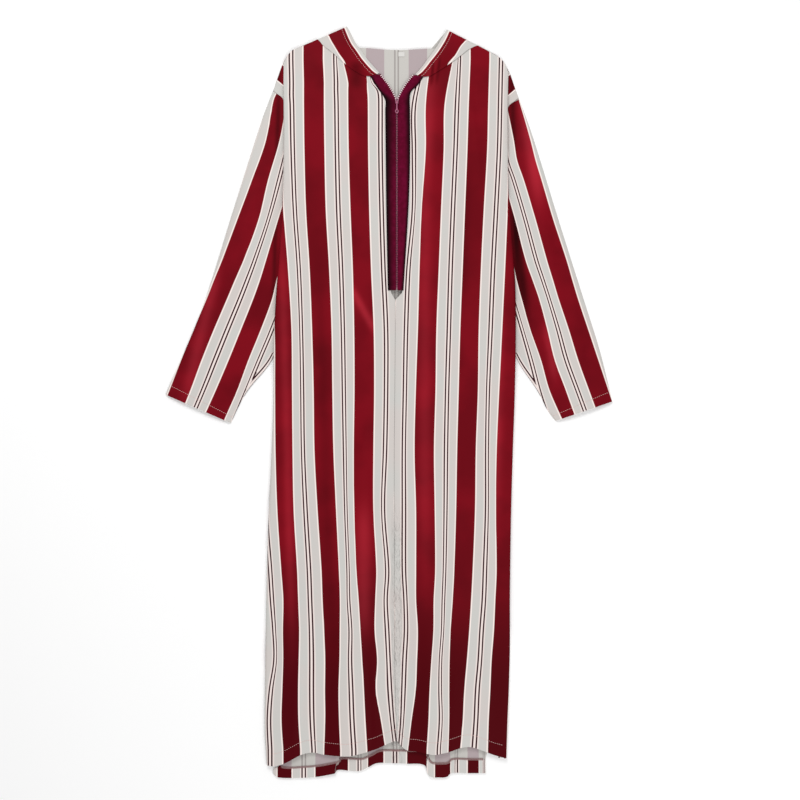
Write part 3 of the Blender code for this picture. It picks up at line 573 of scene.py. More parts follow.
frontShape = {
    "rows": 230, "inner": 92, "under": (0.0, 0.35, 0.7), "turnSteps": 13, "uFrom": 0.03,
    "placketFrom": 190.0, "placketShare": (0.55, 0.25), "bandShare": (0.3, 0.1), "sideShare": 0.28,
    "tipFrom": 560.0, "tipFade": (24.0, 14.0), "topFade": 55.0, "seamDeep": 1.3, "seamHalf": 2.6,
    # x0, y0, x1, y1, half width left, half width right, height, bow: the main soft folds and creases
    "main": [
        (-84, -700, -70, -330, 36, 36, 3.6, 0), (82, -700, 74, -330, 36, 36, 3.6, 0),
        (-148, -700, -112, -280, 36, 36, -1.8, 0), (12, -700, 12, -390, 30, 30, -1.6, 0),
        (150, -700, 172, -260, 32, 32, -1.8, 0), (-50, 120, -36, -260, 34, 34, 2.5, 0),
        (-76, 240, -38, 110, 24, 24, 1.5, 0), (100, 540, 60, 330, 32, 32, 1.5, 0),
        (60, -220, 80, -420, 26, 26, 1.5, 0)],
    "fine": [
        (-196, 330, -176, -340, 12, 20, 1.6, 6), (-118, 150, -96, -380, 14, 10, -1.5, -8),
        (-44, -120, -22, -400, 8, 12, -1.3, 4), (-62, 420, -92, 150, 10, 14, 1.1, 5),
        (-70, 330, -28, 60, 6, 9, -0.9, -6), (-150, 560, -168, 300, 12, 10, 0.8, 3),
        (150, 600, 182, 250, 10, 14, 0.9, -5), (70, 470, 38, 250, 7, 10, 1.2, 3),
        (214, 90, 226, -300, 9, 8, 1.3, -3), (176, 60, 170, -420, 14, 16, -1.4, 5),
        (96, 160, 104, -260, 14, 18, 0.9, -6), (28, -180, 30, -560, 7, 9, -1.3, 3),
        (44, -260, 48, -600, 8, 10, 1.2, -3), (-170, -480, -182, -700, 10, 14, 1.4, 4),
        (-112, -520, -118, -700, 9, 12, -1.0, 3), (-46, -470, -36, -690, 9, 9, -1.2, -3),
        (116, -500, 108, -700, 10, 12, -1.1, 3), (182, -430, 190, -690, 10, 10, 1.3, -3),
        (-30, 20, -60, -140, 7, 9, 0.8, 0), (120, 30, 90, -120, 8, 10, 0.7, 0),
        (-120, -90, -84, -230, 8, 10, -0.8, 3), (140, -160, 116, -330, 8, 11, 0.8, -3),
        (-160, 60, -120, -60, 9, 9, 0.6, 2), (200, 260, 150, 130, 9, 11, 0.7, -3)],
}


def frontLevel(x, y, u, v, length):
    shape = frontShape
    side = flapFloor(y) + turnHeight(y)
    middle = levels["frontTop"] + foldSum(x, y, shape["main"]) + foldSum(x, y, shape["fine"])
    besideZip = mix(middle, placketLevel(y), ramp(u, *shape["placketShare"]))
    middle = np.where(y > shape["placketFrom"], besideZip, middle)
    level = mix(side, middle, soft(u / shape["sideShare"]))
    lift = 2 * levels["panel"] + levels["layerGap"]
    near = np.abs(x - acrossAt(creaseUp[-1 if np.mean(x) < 0 else 1], y))
    tip = (levels["shoulderFlap"] + lift) * (1.0 - ramp(near, *shape["tipFade"]))
    tip = np.where(y > shape["tipFrom"], tip, 0.0)
    edge = np.maximum(backFloor(x, y) + lift, tip)
    atTop = 1.0 - soft((1.0 - v) * length / shape["topFade"])
    level = mix(level, np.maximum(edge, levels["bandTop"] * ramp(u, *shape["bandShare"])), atTop)
    return np.maximum(level, edge)


def makeFront(side):
    shape, name = frontShape, end[side]
    centre = [(x + side * levels["seamGap"] * 0.75, y) for x, y in outline["centre" + name]]
    hem = makeLine(outline["hem" + name][:-1] + [centre[0]])
    top = makeLine(outline["shoulder" + name], afterCorner=outline["neck" + name][:-1] + [centre[-1]])
    crease = makeLine(outline["crease" + name])
    middle = makeLine(centre, smooth=False)
    v = np.linspace(0, 1, shape["rows"])
    u = np.unique(np.concatenate([np.linspace(shape["uFrom"], 1.0, shape["inner"]), [top["corner"]]]))
    edgeX, edgeY = onLine(crease, v).T
    low, radius = flapFloor(edgeY), turnHeight(edgeY) / 2
    seamX = acrossAt(seamUp[side], edgeY) + side * levels["sideSeamGap"]
    reach = np.maximum(np.abs(seamX - edgeX), radius * 1.5 + 1.0)
    turnX = edgeX - side * radius
    # turned under at the side, then round the crease
    columns = [(mix(edgeX - side * reach, turnX, share), edgeY, low) for share in shape["under"]]
    for angle in np.linspace(0, math.pi, shape["turnSteps"]):
        columns.append((turnX + side * radius * math.sin(angle), edgeY, low + radius * (1 - math.cos(angle))))
    spots = sheetPatch(hem, top, crease, middle, u, v)
    x, y = spots[..., 0], spots[..., 1]
    z = frontLevel(x, y, u[None], v[:, None], crease["total"])
    gap = np.abs(x - onLine(middle, v)[:, None, 0])
    belowZip = y < shape["placketFrom"]
    z = z - belowZip * np.exp(-(gap / shape["seamHalf"]) ** 2) * shape["seamDeep"]  # the seam sinks a little
    outside = np.concatenate([np.transpose(columns, (2, 0, 1)), np.stack([x, y, z], -1)], 1)
    across = stripeAcross(outside[..., 0], outside[..., 1], stripes[word[side]], stripes["places" + name])
    turned = len(columns)
    for down in reversed(range(turned)):  # the stripes go on round the crease, by the cloth's own length
        step = outside[:, down + 1] - outside[:, down]
        across[:, down] = across[:, down + 1] + side * np.hypot(step[:, 0], step[:, 2])
    fromHem = v * crease["total"]
    thick = hemThickness(fromHem, outside.shape[1])
    thick[:, :turned] = levels["panel"]
    thing = clothShell("front_" + word[side] + "_cloth", outside, across, thick, -side)
    return thing, outside, rowAt(fromHem, levels["hemDepth"])


fronts = bothSides(makeFront, "front_", "front_side_")
print("fronts ready")


# back

backShape = {
    "rows": 200, "columns": 150,
    "foldLeft": -103.5, "foldRight": 69.5, "foldLift": 3.2, "foldReach": 26.0, "foldFade": (-560.0, -90.0),
    "foldGap": 0.6, "foldSteps": (-0.002, 0.0, 0.0012, 0.003), "hemPattern": (-640.0, 80.0),
    # x and the place in the cloth: at the hem, where two folds break the pattern, and at the neck
    "hemX": (-214, -187.5, -164, -142, -104, -103, -80, -57.5, -42, -12.5, 9.5, 32.5, 69, 70, 85.5, 115, 125,
             148, 169, 178.5),
    "hemPlace": (-18, 18, 41, 64, 100, 74, 100, 123, 146, 182, 205, 228, 264, 291.5, 310, 346, 369, 392, 428,
                 451),
    "neckX": (-45.5, -11, 12.5, 35.5, 70.5), "neckPlace": (146, 182, 205, 228, 264),
}


def backLift(u, y, folds, width):
    # at the hem two loose folds lie over the middle: their edges stand up and fade under the front
    shape = backShape
    left = np.where(u <= folds[0], np.exp((u - folds[0]) * width / shape["foldReach"]), 0.0)
    right = np.where(u >= folds[1], np.exp((folds[1] - u) * width / shape["foldReach"]), 0.0)
    return shape["foldLift"] * ramp(y, *shape["foldFade"]) * (left + right)


def placeAlong(x, known, places):
    # straight on past both ends
    low = (places[1] - places[0]) / (known[1] - known[0])
    high = (places[-1] - places[-2]) / (known[-1] - known[-2])
    before, beyond = np.minimum(x - known[0], 0), np.maximum(x - known[-1], 0)
    return np.interp(x, known, places) + before * low + beyond * high


def makeBack():
    shape = backShape
    left = makeLine(outline["cornerLeft"] + outline["sideLeft"] + outline["armholeLeft"][1:])
    right = makeLine(outline["cornerRight"] + outline["sideRight"] + outline["armholeRight"][1:])
    hem, top = makeLine(outline["backHem"]), makeLine(outline["backTop"])
    v = np.linspace(0, 1, shape["rows"])
    folds = np.interp([shape["foldLeft"], shape["foldRight"]], hem["points"][:, 0], hem["share"])
    steps = np.array(shape["foldSteps"])
    u = np.unique(np.concatenate([np.linspace(0, 1, shape["columns"]), folds[0] + steps, folds[1] - steps]))
    spots = sheetPatch(hem, top, left, right, u, v)
    x, y = spots[..., 0], spots[..., 1]
    outside = np.stack([x, y, backFloor(x, y) + backLift(u[None], y, folds, hem["total"])], -1)
    # each part keeps to its own side of the breaks in the pattern
    gap = shape["foldGap"]
    parts = [u <= folds[0], u <= folds[1]]
    low = np.select(parts, [-400.0, shape["foldLeft"] + gap], shape["foldRight"] + gap)
    high = np.select(parts, [shape["foldLeft"] - gap, shape["foldRight"] - gap], 400.0)
    atHem = placeAlong(np.clip(x, low[None], high[None]), shape["hemX"], shape["hemPlace"])
    across = mix(atHem, placeAlong(x, shape["neckX"], shape["neckPlace"]), ramp(y, *shape["hemPattern"]))
    fromHem = v * left["total"]
    # thick straight up, so that the folds' steps stay whole
    inside = outside + np.array([0.0, 0.0, 1.0]) * hemThickness(fromHem, len(u))[..., None]
    thing = gridMesh("back_cloth", outside, inside, across, -1)
    return thing, inside, across, rowAt(fromHem, levels["hemDepth"])


back, backInside, backAcross, backHemRow = makeBack()
finishPiece(back, satin, "robe", ["back_panel", "back_panel_upper"])
print("back ready")


# sleeves

sleeveShape = {
    "rows": 130, "half": 60, "bends": 6, "puff": 5.5, "puffFade": (2.0, 70.0), "creaseFade": (4.0, 20.0),
    # how far the five points of the armhole are moved: outward, up
    "shifts": [(1.2, -1.2), (1.5, 4.8), (1.5, -1.2), (1.5, -1.2), (2.0, -2.0)],
    # the underarm seam: a pair of lines along the inner edge, between these two heights
    "seamPlace": -38.5, "seamJump": 60.0, "seamTop": (95.0, 12.0), "seamFoot": (12.0, -12.0),
    "least": -61.0, "most": 116.0, "stitchFromCuff": 20.0,
    # distance out from the robe's middle at y: line pair, two edges of the inner red stripe, two of the outer
    "places": (-41.0, -18.0, 18.0, 64.0, 100.0),
    "left": [
        (-33, 297, 315, 356, 402, 442), (24, 273, 290, 330.5, 379, 419), (81, 249, 269, 306, 358, 397),
        (138, 225, 246, 283, 335, 374), (195, 204, 225, 260.5, 310.5, 349.5),
        (233, 196, 216, 247, 294.5, 334.5), (271, 184, 205, 235.5, 278, 319),
        (347, 163, 184, 213, 250, 290.5), (423, 143, 165, 190, 232, 262), (499, 124, 146, 176, 210, 235.5),
        (575, 110, 133, 161.5, 196, 221), (592, 106, 129.5, 157, 191, 213.5)],
    "right": [
        (-33, 300, 328, 354, 399, 434), (24, 283, 303, 333.5, 378, 415), (81, 268, 287, 312.5, 357.5, 396),
        (138, 252, 267, 299, 340, 377), (195, 235, 251, 284, 321, 358), (233, 224, 241, 271, 309.5, 346.5),
        (271, 210, 233, 257.5, 298, 335.5), (347, 188, 209, 238, 277, 310.5),
        (423, 165, 187, 216, 254.5, 288), (461, 153, 174, 203, 241.5, 276.5),
        (499, 146, 169, 198, 235.5, 267), (575, 142, 161.5, 190, 220, 245)],
    # soft folds: from the armhole down, and a few slanting ones at the elbow
    "folds": [
        (-250, 420, -330, 120, 12, 16, 1.5, 6), (-232, 300, -300, 110, 8, 10, -1.2, -4),
        (-300, 250, -372, 60, 10, 12, 1.1, 3), (-262, 170, -330, 20, 9, 12, 1.4, 4),
        (-238, 230, -262, 90, 6, 9, -1.0, 2), (-356, 110, -330, -10, 12, 10, -0.9, 2),
        (270, 420, 330, 160, 12, 14, 1.5, -5), (262, 280, 312, 90, 8, 10, -1.2, 3),
        (338, 240, 372, 40, 9, 12, 1.0, -3), (290, 130, 350, -10, 9, 10, 1.4, 3),
        (262, 200, 272, 100, 6, 8, -0.9, 2), (380, 120, 352, 0, 9, 12, -0.8, 2)],
}


def makeSleeve(side):
    shape, name = sleeveShape, end[side]
    points = outline["armhole" + name][::-1]
    armhole = [(x + side * dx, y + dy) for (x, y), (dx, dy) in zip(points, shape["shifts"])]
    outer = [armhole[0]] + outline["sleeveOut" + name][1:]
    inner = [armhole[-1]] + outline["sleeveIn" + name][1:]
    headLine, cuffLine = makeLine(armhole), makeLine([outer[-1], inner[-1]])
    outerLine, innerLine = makeLine(outer), makeLine(inner)
    radius = levels["sleeveStack"] / 2
    v = np.linspace(0, 1, shape["rows"])
    width = np.linalg.norm(onLine(outerLine, v) - onLine(innerLine, v), axis=1)
    angles = np.linspace(0, math.pi / 2, shape["bends"])
    outside = []
    for i, share in enumerate(v):
        # one ring: share of the width and height, over the top and back below
        r = radius / width[i]
        bend = [(r * (1 - math.cos(a)), radius + radius * math.sin(a)) for a in angles]
        flat = np.linspace(r, 1 - r, shape["half"])[1:-1]
        ring = bend + [(t, 2 * radius) for t in flat] + [(1 - t, z) for t, z in bend[::-1]]
        ring += [(1 - t, 2 * radius - z) for t, z in bend[1:]] + [(t, 0.0) for t in flat[::-1]]
        ring += [(t, 2 * radius - z) for t, z in bend[:0:-1]]
        t, z = np.array(ring).T
        along = mix(onLine(outerLine, share), onLine(innerLine, share), t[:, None])
        straight = [mix(line["points"][0], line["points"][-1], t[:, None]) for line in (headLine, cuffLine)]
        x, y = (mix(onLine(headLine, t), onLine(cuffLine, t), share) + along - mix(*straight, share)).T
        order = np.arange(len(t)) - (shape["bends"] - 1)
        clear = side * (x - acrossAt(creaseUp[side], y))
        puff = shape["puff"] * ramp(clear, *shape["puffFade"]) * np.sin(np.pi * np.clip(t, 0, 1)) ** 0.6
        crease = foldSum(x, y, shape["folds"]) * ramp(clear, *shape["creaseFade"]) * np.sin(np.pi * t) ** 0.5
        z = np.where((order >= 0) & (order < shape["half"]), z + puff + crease, z)
        outside.append(np.stack([x, y, z], -1))
    outside = np.array(outside)
    y = outside[..., 1]
    across = stripeAcross(side * outside[..., 0], y, shape[word[side]], shape["places"])
    fromEdge = np.array([(1 - t) * w for w in width])
    jump = shape["seamJump"] * (ramp(y, *shape["seamTop"]) + ramp(y, *shape["seamFoot"]))
    across = np.clip(np.maximum(across, shape["seamPlace"] - fromEdge - jump), shape["least"], shape["most"])
    thing = clothShell("sleeve_" + word[side] + "_cloth", outside, across, levels["light"], side, closed=True)
    return thing, outside, rowAt((1 - v) * outerLine["total"], shape["stitchFromCuff"])


sleeves = bothSides(makeSleeve, "sleeve_")
print("sleeves ready")


# turned-up hem of the back, seen below the fronts

hemShape = {"thickness": 1.0, "above": 0.2}


def makeBackHem():
    rows = backHemRow + 1
    inside = backInside[:rows][::-1] + np.array([0.0, 0.0, hemShape["above"]])
    outside = inside + np.array([0.0, 0.0, hemShape["thickness"]])
    return gridMesh("back_hem_turn_up", outside, inside, backAcross[:rows][::-1], -1), outside


backHem, backHemTop = makeBackHem()
finishPiece(backHem, satin, "robe")


# shoulder: what shows of the back beyond the crease, with the seam to the sleeve

shoulderShape = {
    "rows": 60, "columns": 30, "level": 1.8, "thickness": 1.0,
    # its outer edge, from the armhole up to the shoulder tip, and how far it reaches in under the front
    "left": [(-221.2, 593.6), (-214.3, 615), (-203.5, 646)],
    "right": [(244.4, 579.8), (237.6, 598.5), (227.5, 628.5)],
    "inner": 12.0, "slant": 0.9, "redTop": {-1: (613.1, 603.4), 1: (595.7, 584.3)}, "most": 31.0,
}


def makeShoulder(side):
    shape = shoulderShape
    points = shape[word[side]]
    v, u = np.linspace(0, 1, shape["rows"])[:, None], np.linspace(0, 1, shape["columns"])[None]
    edge = onLine(makeLine(points), v[:, 0])
    edgeX, edgeY = edge[:, :1], edge[:, 1:]
    creaseX = acrossAt(creaseUp[side], edgeY)
    x = edgeX + (creaseX - side * shape["inner"] - edgeX) * u
    y = edgeY - (1 - v) * shape["slant"] * np.abs(x - edgeX)
    outside = np.stack([x, y, np.full_like(x, shape["level"] + shape["thickness"])], -1)
    # red above a slanting line, white below it down to the seam
    high, low = shape["redTop"][side]
    bound = high + (low - high) * (x - points[1][0]) / (creaseX - points[1][0])
    across = np.minimum(stripes["redHalf"] - (y - bound), shape["most"])
    return clothShell("shoulder_" + word[side] + "_cloth", outside, across, shape["thickness"], -side)


shoulders = {}
for side in (-1, 1):
    shoulders[side] = makeShoulder(side)
    finishPiece(shoulders[side], satin, "robe")
print("hem and shoulders ready")


# hood

hoodShape = {
    "faceLeft": [(-20, 626.5), (-34, 642), (-46, 656), (-56, 671), (-66, 684), (-74, 700), (-82, 715)],
    "faceRight": [(48, 623.5), (60, 637), (71, 652), (81, 665), (90, 678), (100, 694), (108, 709)],
    "behindSide": [(-147, 655), (-155, 603), (-153, 546), (-140, 489), (-112, 438), (-70, 400), (-20, 382)],
    "behindFace": [(-70, 674), (-47, 645), (-22, 620), (-2, 601), (-0.2, 546), (-0.2, 460), (-0.2, 384)],
    "behindNeck": [(-0.2, 400), (-0.2, 460), (-0.2, 520), (-0.2, 580), (-0.2, 630), (-0.2, 668)],
    # share of the band's width where the red stripe starts and ends, from the zip to the ear
    "redStart": (-0.9, -0.45, -0.12, 0.05, 0.13, 0.25, 0.35),
    "redEnd": (0.58, 0.7, 0.76, 0.79, 0.82, 0.85, 0.9),
    "rows": 70, "columns": 60, "puff": 2.6, "overlap": 1.9, "overlapRise": 2.4, "overlapWide": 0.09,
    "least": -33.0, "stretch": 1.08, "stitchIn": 5.5,
}


def unit(vector):
    return vector / np.linalg.norm(vector)


def makeHood(side):
    shape, name = hoodShape, end[side]
    start = (-31.5, 621.0) if side < 0 else (59.0, 619.5)
    seam = [start] + [(x - side * 0.25, y + 0.35) for x, y in outline["neck" + name][-2::-1]]
    face = shape["face" + name]
    # the ear's roll starts where its radius meets the band, so that it ends at the outline
    radius = levels["bandTop"] / 2
    seamEnd, faceEnd = np.array(seam[-1], float), np.array(face[-1], float)
    ear = faceEnd - seamEnd
    outward = unit(np.array([-ear[1], ear[0]])) * -side
    downSeam, downFace = unit(np.array(seam[-2]) - seamEnd), unit(np.array(face[-2]) - faceEnd)
    startSeam = seamEnd - downSeam * (radius / downSeam.dot(outward))
    startFace = faceEnd - downFace * (radius / downFace.dot(outward))
    share = np.linspace(0, 1, shape["rows"])
    count = len(share)
    band = [onLine(makeLine(line[:-1] + [tuple(start)]), share) for line, start in (
        (seam, startSeam), (face, startFace))]
    # rows from the zip over the ear, down behind the back and up again: both ends of each row and its height
    rows = [(p, q, levels["bandTop"]) for p, q in zip(*band)]
    for angle in np.linspace(0, math.pi, 14):
        push, high = math.sin(angle), radius + radius * math.cos(angle)
        rows.append((mix(startSeam, seamEnd, push), mix(startFace, faceEnd, push), high))

    def behind(key):
        return [np.array((levels["hoodCentre"] - side * x, y)) for x, y in shape[key]]

    a, b = behind("behindSide"), behind("behindFace")
    rows += [(p, q, 0.0) for p, q in zip(a, b)]
    turn = levels["hoodStack"] / 2
    for angle in np.linspace(0, math.pi, 8)[1:-1]:
        drop = np.array([0.0, turn * math.sin(angle)])
        rows.append((a[-1] - drop, b[-1] - drop, turn - turn * math.cos(angle)))
    rows += [(p, q, levels["hoodStack"]) for p, q in zip(a[::-1], [b[-1]] + behind("behindNeck"))]
    rowsA, rowsB, rowsZ = [np.array(part) for part in zip(*rows)]
    u = np.linspace(0, 1, shape["columns"])
    spot = rowsA[:, None] + (rowsB - rowsA)[:, None] * u[None, :, None]
    z = np.repeat(rowsZ[:, None], len(u), axis=1)
    rise = ramp(share, 0.0, 0.12)[:, None] * ramp(share, 1.0, -0.2)[:, None]
    z[:count] += shape["puff"] * rise * np.sin(math.pi * np.clip(u, 0, 1))[None] ** 0.7
    # the band laps a little over the fronts along its seam
    over = (ramp(share, 0.0, 0.1) * ramp(share, 1.0, -0.1))[:, None]
    over = over * (1.0 - soft(u / shape["overlapWide"]))[None]
    width = np.linalg.norm(rowsB - rowsA, axis=1)[:count, None]
    spot[:count] += ((rowsA - rowsB)[:count] / width)[:, None] * (shape["overlap"] * over)[..., None]
    z[:count] += shape["overlapRise"] * over
    outside = np.concatenate([spot, z[..., None]], 2)
    place = np.linspace(0, 1, len(shape["redEnd"]))
    redStart, redEnd = [np.interp(share, place, shape[key])[:, None] for key in ("redStart", "redEnd")]
    half = stripes["redHalf"]
    inRed = half - (redEnd - u[None]) * (2 * half / (redEnd - redStart))
    beyond = half + (u[None] - redEnd) * width * shape["stretch"]
    across = np.empty(outside.shape[:2])
    # no line pair on the band's seam edge
    across[:count] = np.maximum(np.where(u[None] > redEnd, beyond, inRed), shape["least"])
    across[count:] = across[count - 1]
    thing = clothShell("hood_" + word[side] + "_cloth", outside, across, levels["light"], -side)
    lineU = np.clip(redEnd - shape["stitchIn"] / width, 0.05, 1.0)[:, 0]
    stitch = [[np.interp(lineU[r], u, outside[r, :, k]) for k in range(3)] for r in range(count)]
    return thing, np.array(stitch)


hoods = bothSides(makeHood, "hood_")
print("hood ready")


# velvet strips beside the zip

zipShape = {
    "velvetLeft": [(-38, 620), (-25, 599), (-9, 574), (-9, 556), (-8, 461), (-7, 368), (-4, 213)],
    "velvetRight": [
        (63.5, 618.5), (53, 603), (40, 590), (37.5, 576), (38, 556), (38, 461), (35, 368), (25.5, 213)],
    "chain": [
        (622, 31.5), (606, 18.5), (591, 9.5), (578, 2.9), (572, 0.9), (566, 0.15), (461, 0.15), (368, 0.15),
        (214, 0.15)],
    "chainX": 13.0, "teethWidth": 1.5, "teethTop": 12.1, "tapeWidth": 8.5,
    # how far in from each edge the pile carries painted shade: high up, low down, and beside the open zip
    "darkLeft": (28.0, 17.0), "darkRight": (15.0, 7.0), "darkOpen": 7.0, "darkDown": (350.0, 230.0),
    "openFrom": (574.0, 8.0), "openTurn": (570.0, 25.0), "openIn": -1.5, "velvetRings": 170,
    # the strip's section from its outer edge over the top to the inner edge: share of width, height
    "profile": [
        (0.0, 0.0), (0.0, 0.9), (0.03, 1.4), (0.09, 1.7), (0.2, 1.8), (0.35, 1.85), (0.5, 1.85),
        (0.65, 1.85), (0.8, 1.8), (0.92, 1.65), (0.98, 1.3), (1.0, 0.8), (1.0, 0.0)],
    "tapeTop": -0.25, "tapeFoot": -1.3, "tapeIn": 0.5, "tapeNarrow": 0.6, "narrowFrom": (591.0, 15.0),
    # the teeth of each stretch: from y, to y, step, away from the edge, up
    "open": (621.0, 577.5, 3.9, -0.7, 0.3), "closed": (577.0, 216.0, 3.2, 0.75, -0.5),
}


def chainHalf(y):
    rows = np.array(zipShape["chain"][::-1])
    return np.interp(y, rows[:, 0], rows[:, 1])


def skin(mesh, loops, closed=False):
    # faces between loops of the same number of points; unless closed, both ends get a lid
    verts = [[mesh.verts.new(p) for p in loop] for loop in loops]
    for k in range(len(verts) if closed else len(verts) - 1):
        first, second = verts[k], verts[(k + 1) % len(verts)]
        for m in range(len(first)):
            n = (m + 1) % len(first)
            mesh.faces.new((first[m], first[n], second[n], second[m]))
    if not closed:
        mesh.faces.new(verts[0][::-1])
        mesh.faces.new(verts[-1])


def sweep(name, sections, cloth=None):
    mesh = bmesh.new()
    skin(mesh, np.array(sections) * mm)
    bmesh.ops.recalc_face_normals(mesh, faces=mesh.faces)
    data = meshData(name, mesh)
    if cloth is not None:
        pointValues(data, "cloth", cloth)
    return placeObject(name, data, 40)


def makeVelvet(side):
    shape, name = zipShape, end[side]
    edgeX, edgeY = onLine(makeLine(shape["velvet" + name]), np.linspace(0, 1, shape["velvetRings"])).T
    innerY = edgeY + 4.0 * ramp(edgeY, *riseShape["bandRise"])
    clear = mix(shape["teethWidth"] + levels["seamGap"], shape["openIn"], ramp(innerY, *shape["openFrom"]))
    innerX = shape["chainX"] + side * (chainHalf(innerY) + clear)
    low = placketLevel(np.minimum(edgeY, innerY)) + levels["seamGap"]
    down = 1.0 - ramp(edgeY, *shape["darkDown"])
    dark = mix(mix(*shape["dark" + name], down), shape["darkOpen"], ramp(edgeY, *shape["openTurn"]))
    t, z = np.array(shape["profile"]).T
    x = mix(edgeX[:, None], innerX[:, None], t)
    y = mix(edgeY[:, None], innerY[:, None], t)
    # how far into the painted shade each point lies: 0 at the outer edge, 1 past its reach
    inPaintedShade = np.minimum(t * (np.abs(innerX - edgeX) / dark)[:, None], 1.0)
    along = np.broadcast_to(edgeY[:, None], x.shape)
    return sweep("velvet_" + word[side], np.stack([x, y, low[:, None] + z], -1),
                 np.stack([inPaintedShade, along, np.zeros_like(x)], -1))


def makeTape(side):
    shape = zipShape
    knots = [y for y, half in shape["chain"]]
    ys = np.concatenate([np.linspace(a, b, 12)[:-1] for a, b in zip(knots, knots[1:])] + [knots[-1:]])
    sections = []
    for y in ys:
        edge = shape["chainX"] + side * chainHalf(y)
        tape = shape["tapeWidth"] * mix(1.0, shape["tapeNarrow"], ramp(y, *shape["narrowFrom"]))
        spots = [(x, z) for x in (shape["tapeIn"], tape) for z in (shape["tapeFoot"], shape["tapeTop"])]
        spots[2:] = spots[:1:-1]
        sections.append([(edge + side * x, y, placketLevel(y) + z) for x, z in spots])
    return sweep("tape_" + word[side], sections)


def instancesOnLine(name, points, step, shape, material):
    # geometry nodes: the little shape repeats along the line at an even step
    curve = bpy.data.curves.new(name + "_line", "CURVE")
    curve.dimensions = "3D"
    spline = curve.splines.new("POLY")
    spline.points.add(len(points) - 1)
    spots = np.concatenate([np.array(points) * mm, np.ones((len(points), 1))], 1)
    spline.points.foreach_set("co", spots.ravel())
    holder = placeObject(name + "_line", curve)
    tree = bpy.data.node_groups.new(name + "_repeat", "GeometryNodeTree")
    sockets = {}
    kinds = {"Geometry": "Geometry", "Step": "Float", "Shape": "Object", "Finish": "Material"}
    for label, kind in kinds.items():
        sockets[label] = tree.interface.new_socket(label, in_out="INPUT", socket_type="NodeSocket" + kind)
    tree.interface.new_socket("Geometry", in_out="OUTPUT", socket_type="NodeSocketGeometry")
    source = addNode(tree, "NodeGroupInput").outputs
    dots = addNode(tree, "GeometryNodeResampleCurve", {"mode": "LENGTH"}, {
        "Curve": source["Geometry"], "Length": source["Step"]})
    tangent = addNode(tree, "GeometryNodeInputTangent").outputs[0]
    turn = addNode(tree, "FunctionNodeAlignRotationToVector", {"axis": "Y"}, {"Vector": tangent}).outputs[0]
    info = addNode(tree, "GeometryNodeObjectInfo", inputs={"Object": source["Shape"]})
    copies = addNode(tree, "GeometryNodeInstanceOnPoints", inputs={
        "Points": dots.outputs[0], "Instance": info.outputs["Geometry"], "Rotation": turn})
    solid = addNode(tree, "GeometryNodeRealizeInstances", inputs={"Geometry": copies.outputs[0]})
    painted = addNode(tree, "GeometryNodeSetMaterial", inputs={
        "Geometry": solid.outputs[0], "Material": source["Finish"]})
    addNode(tree, "NodeGroupOutput", inputs={0: painted.outputs[0]})
    modifier = holder.modifiers.new("repeat", "NODES")
    modifier.node_group = tree
    for label, value in (("Step", step * mm), ("Shape", shape), ("Finish", material)):
        modifier[sockets[label].identifier] = value
    bpy.context.view_layer.update()
    seen = holder.evaluated_get(bpy.context.evaluated_depsgraph_get())
    made = bpy.data.meshes.new_from_object(seen)
    bpy.data.objects.remove(holder)
    return made


def repeatPiece(name, pointLines, step, shape, material):
    whole = bmesh.new()
    for k, points in enumerate(pointLines):
        whole.from_mesh(instancesOnLine(name + "_" + str(k), points, step, shape, material))
    return placeObject(name, meshData(name, whole), 40)


def makeBead(name, length, radius, height):
    # a short rounded bar along Y
    mesh = bmesh.new()
    bmesh.ops.create_uvsphere(mesh, u_segments=8, v_segments=6, radius=1.0)
    for vert in mesh.verts:
        x, y, z = vert.co
        vert.co = (x * radius * mm, math.copysign(abs(z) ** 0.6, z) * length / 2 * mm, y * height * mm)
    bmesh.ops.reverse_faces(mesh, faces=mesh.faces[:])  # the swap of two axes had turned them inward
    thing = placeObject(name, meshData(name, mesh))
    thing.hide_render = True
    return thing


stitchBead = makeBead("stitch_shape", 2.9, 0.33, 0.3)
loopBead = makeBead("overlock_shape", 0.9, 2.5, 0.4)
toothBead = makeBead("tooth_shape", 1.7, 0.7, 0.8)
openBead = makeBead("open_tooth_shape", 2.1, 1.5, 0.6)


def makeTeeth(side, part, bead, material):
    shape = zipShape
    high, low, step, away, rise = shape[part]
    ys = np.linspace(high, low, 300)
    top = placketLevel(ys) - levels["placketTop"] + shape["teethTop"]
    line = np.stack([shape["chainX"] + side * (chainHalf(ys) + away), ys, top + rise], -1)
    return repeatPiece(part + "_teeth_" + word[side], [line], step, bead, material)


for side in (-1, 1):
    finishPiece(makeVelvet(side), velvet, "robe", ["placket_" + word[side]])
    finishPiece(makeTape(side), tapeCloth, "robe")
    finishPiece(makeTeeth(side, "open", openBead, paleHighlightTeeth), paleHighlightTeeth, "robe")
    closed = makeTeeth(side, "closed", toothBead, teethPlastic)
    finishPiece(closed, teethPlastic, "robe", ["zip_" + word[side]])
print("zip ready")


# slider and pull

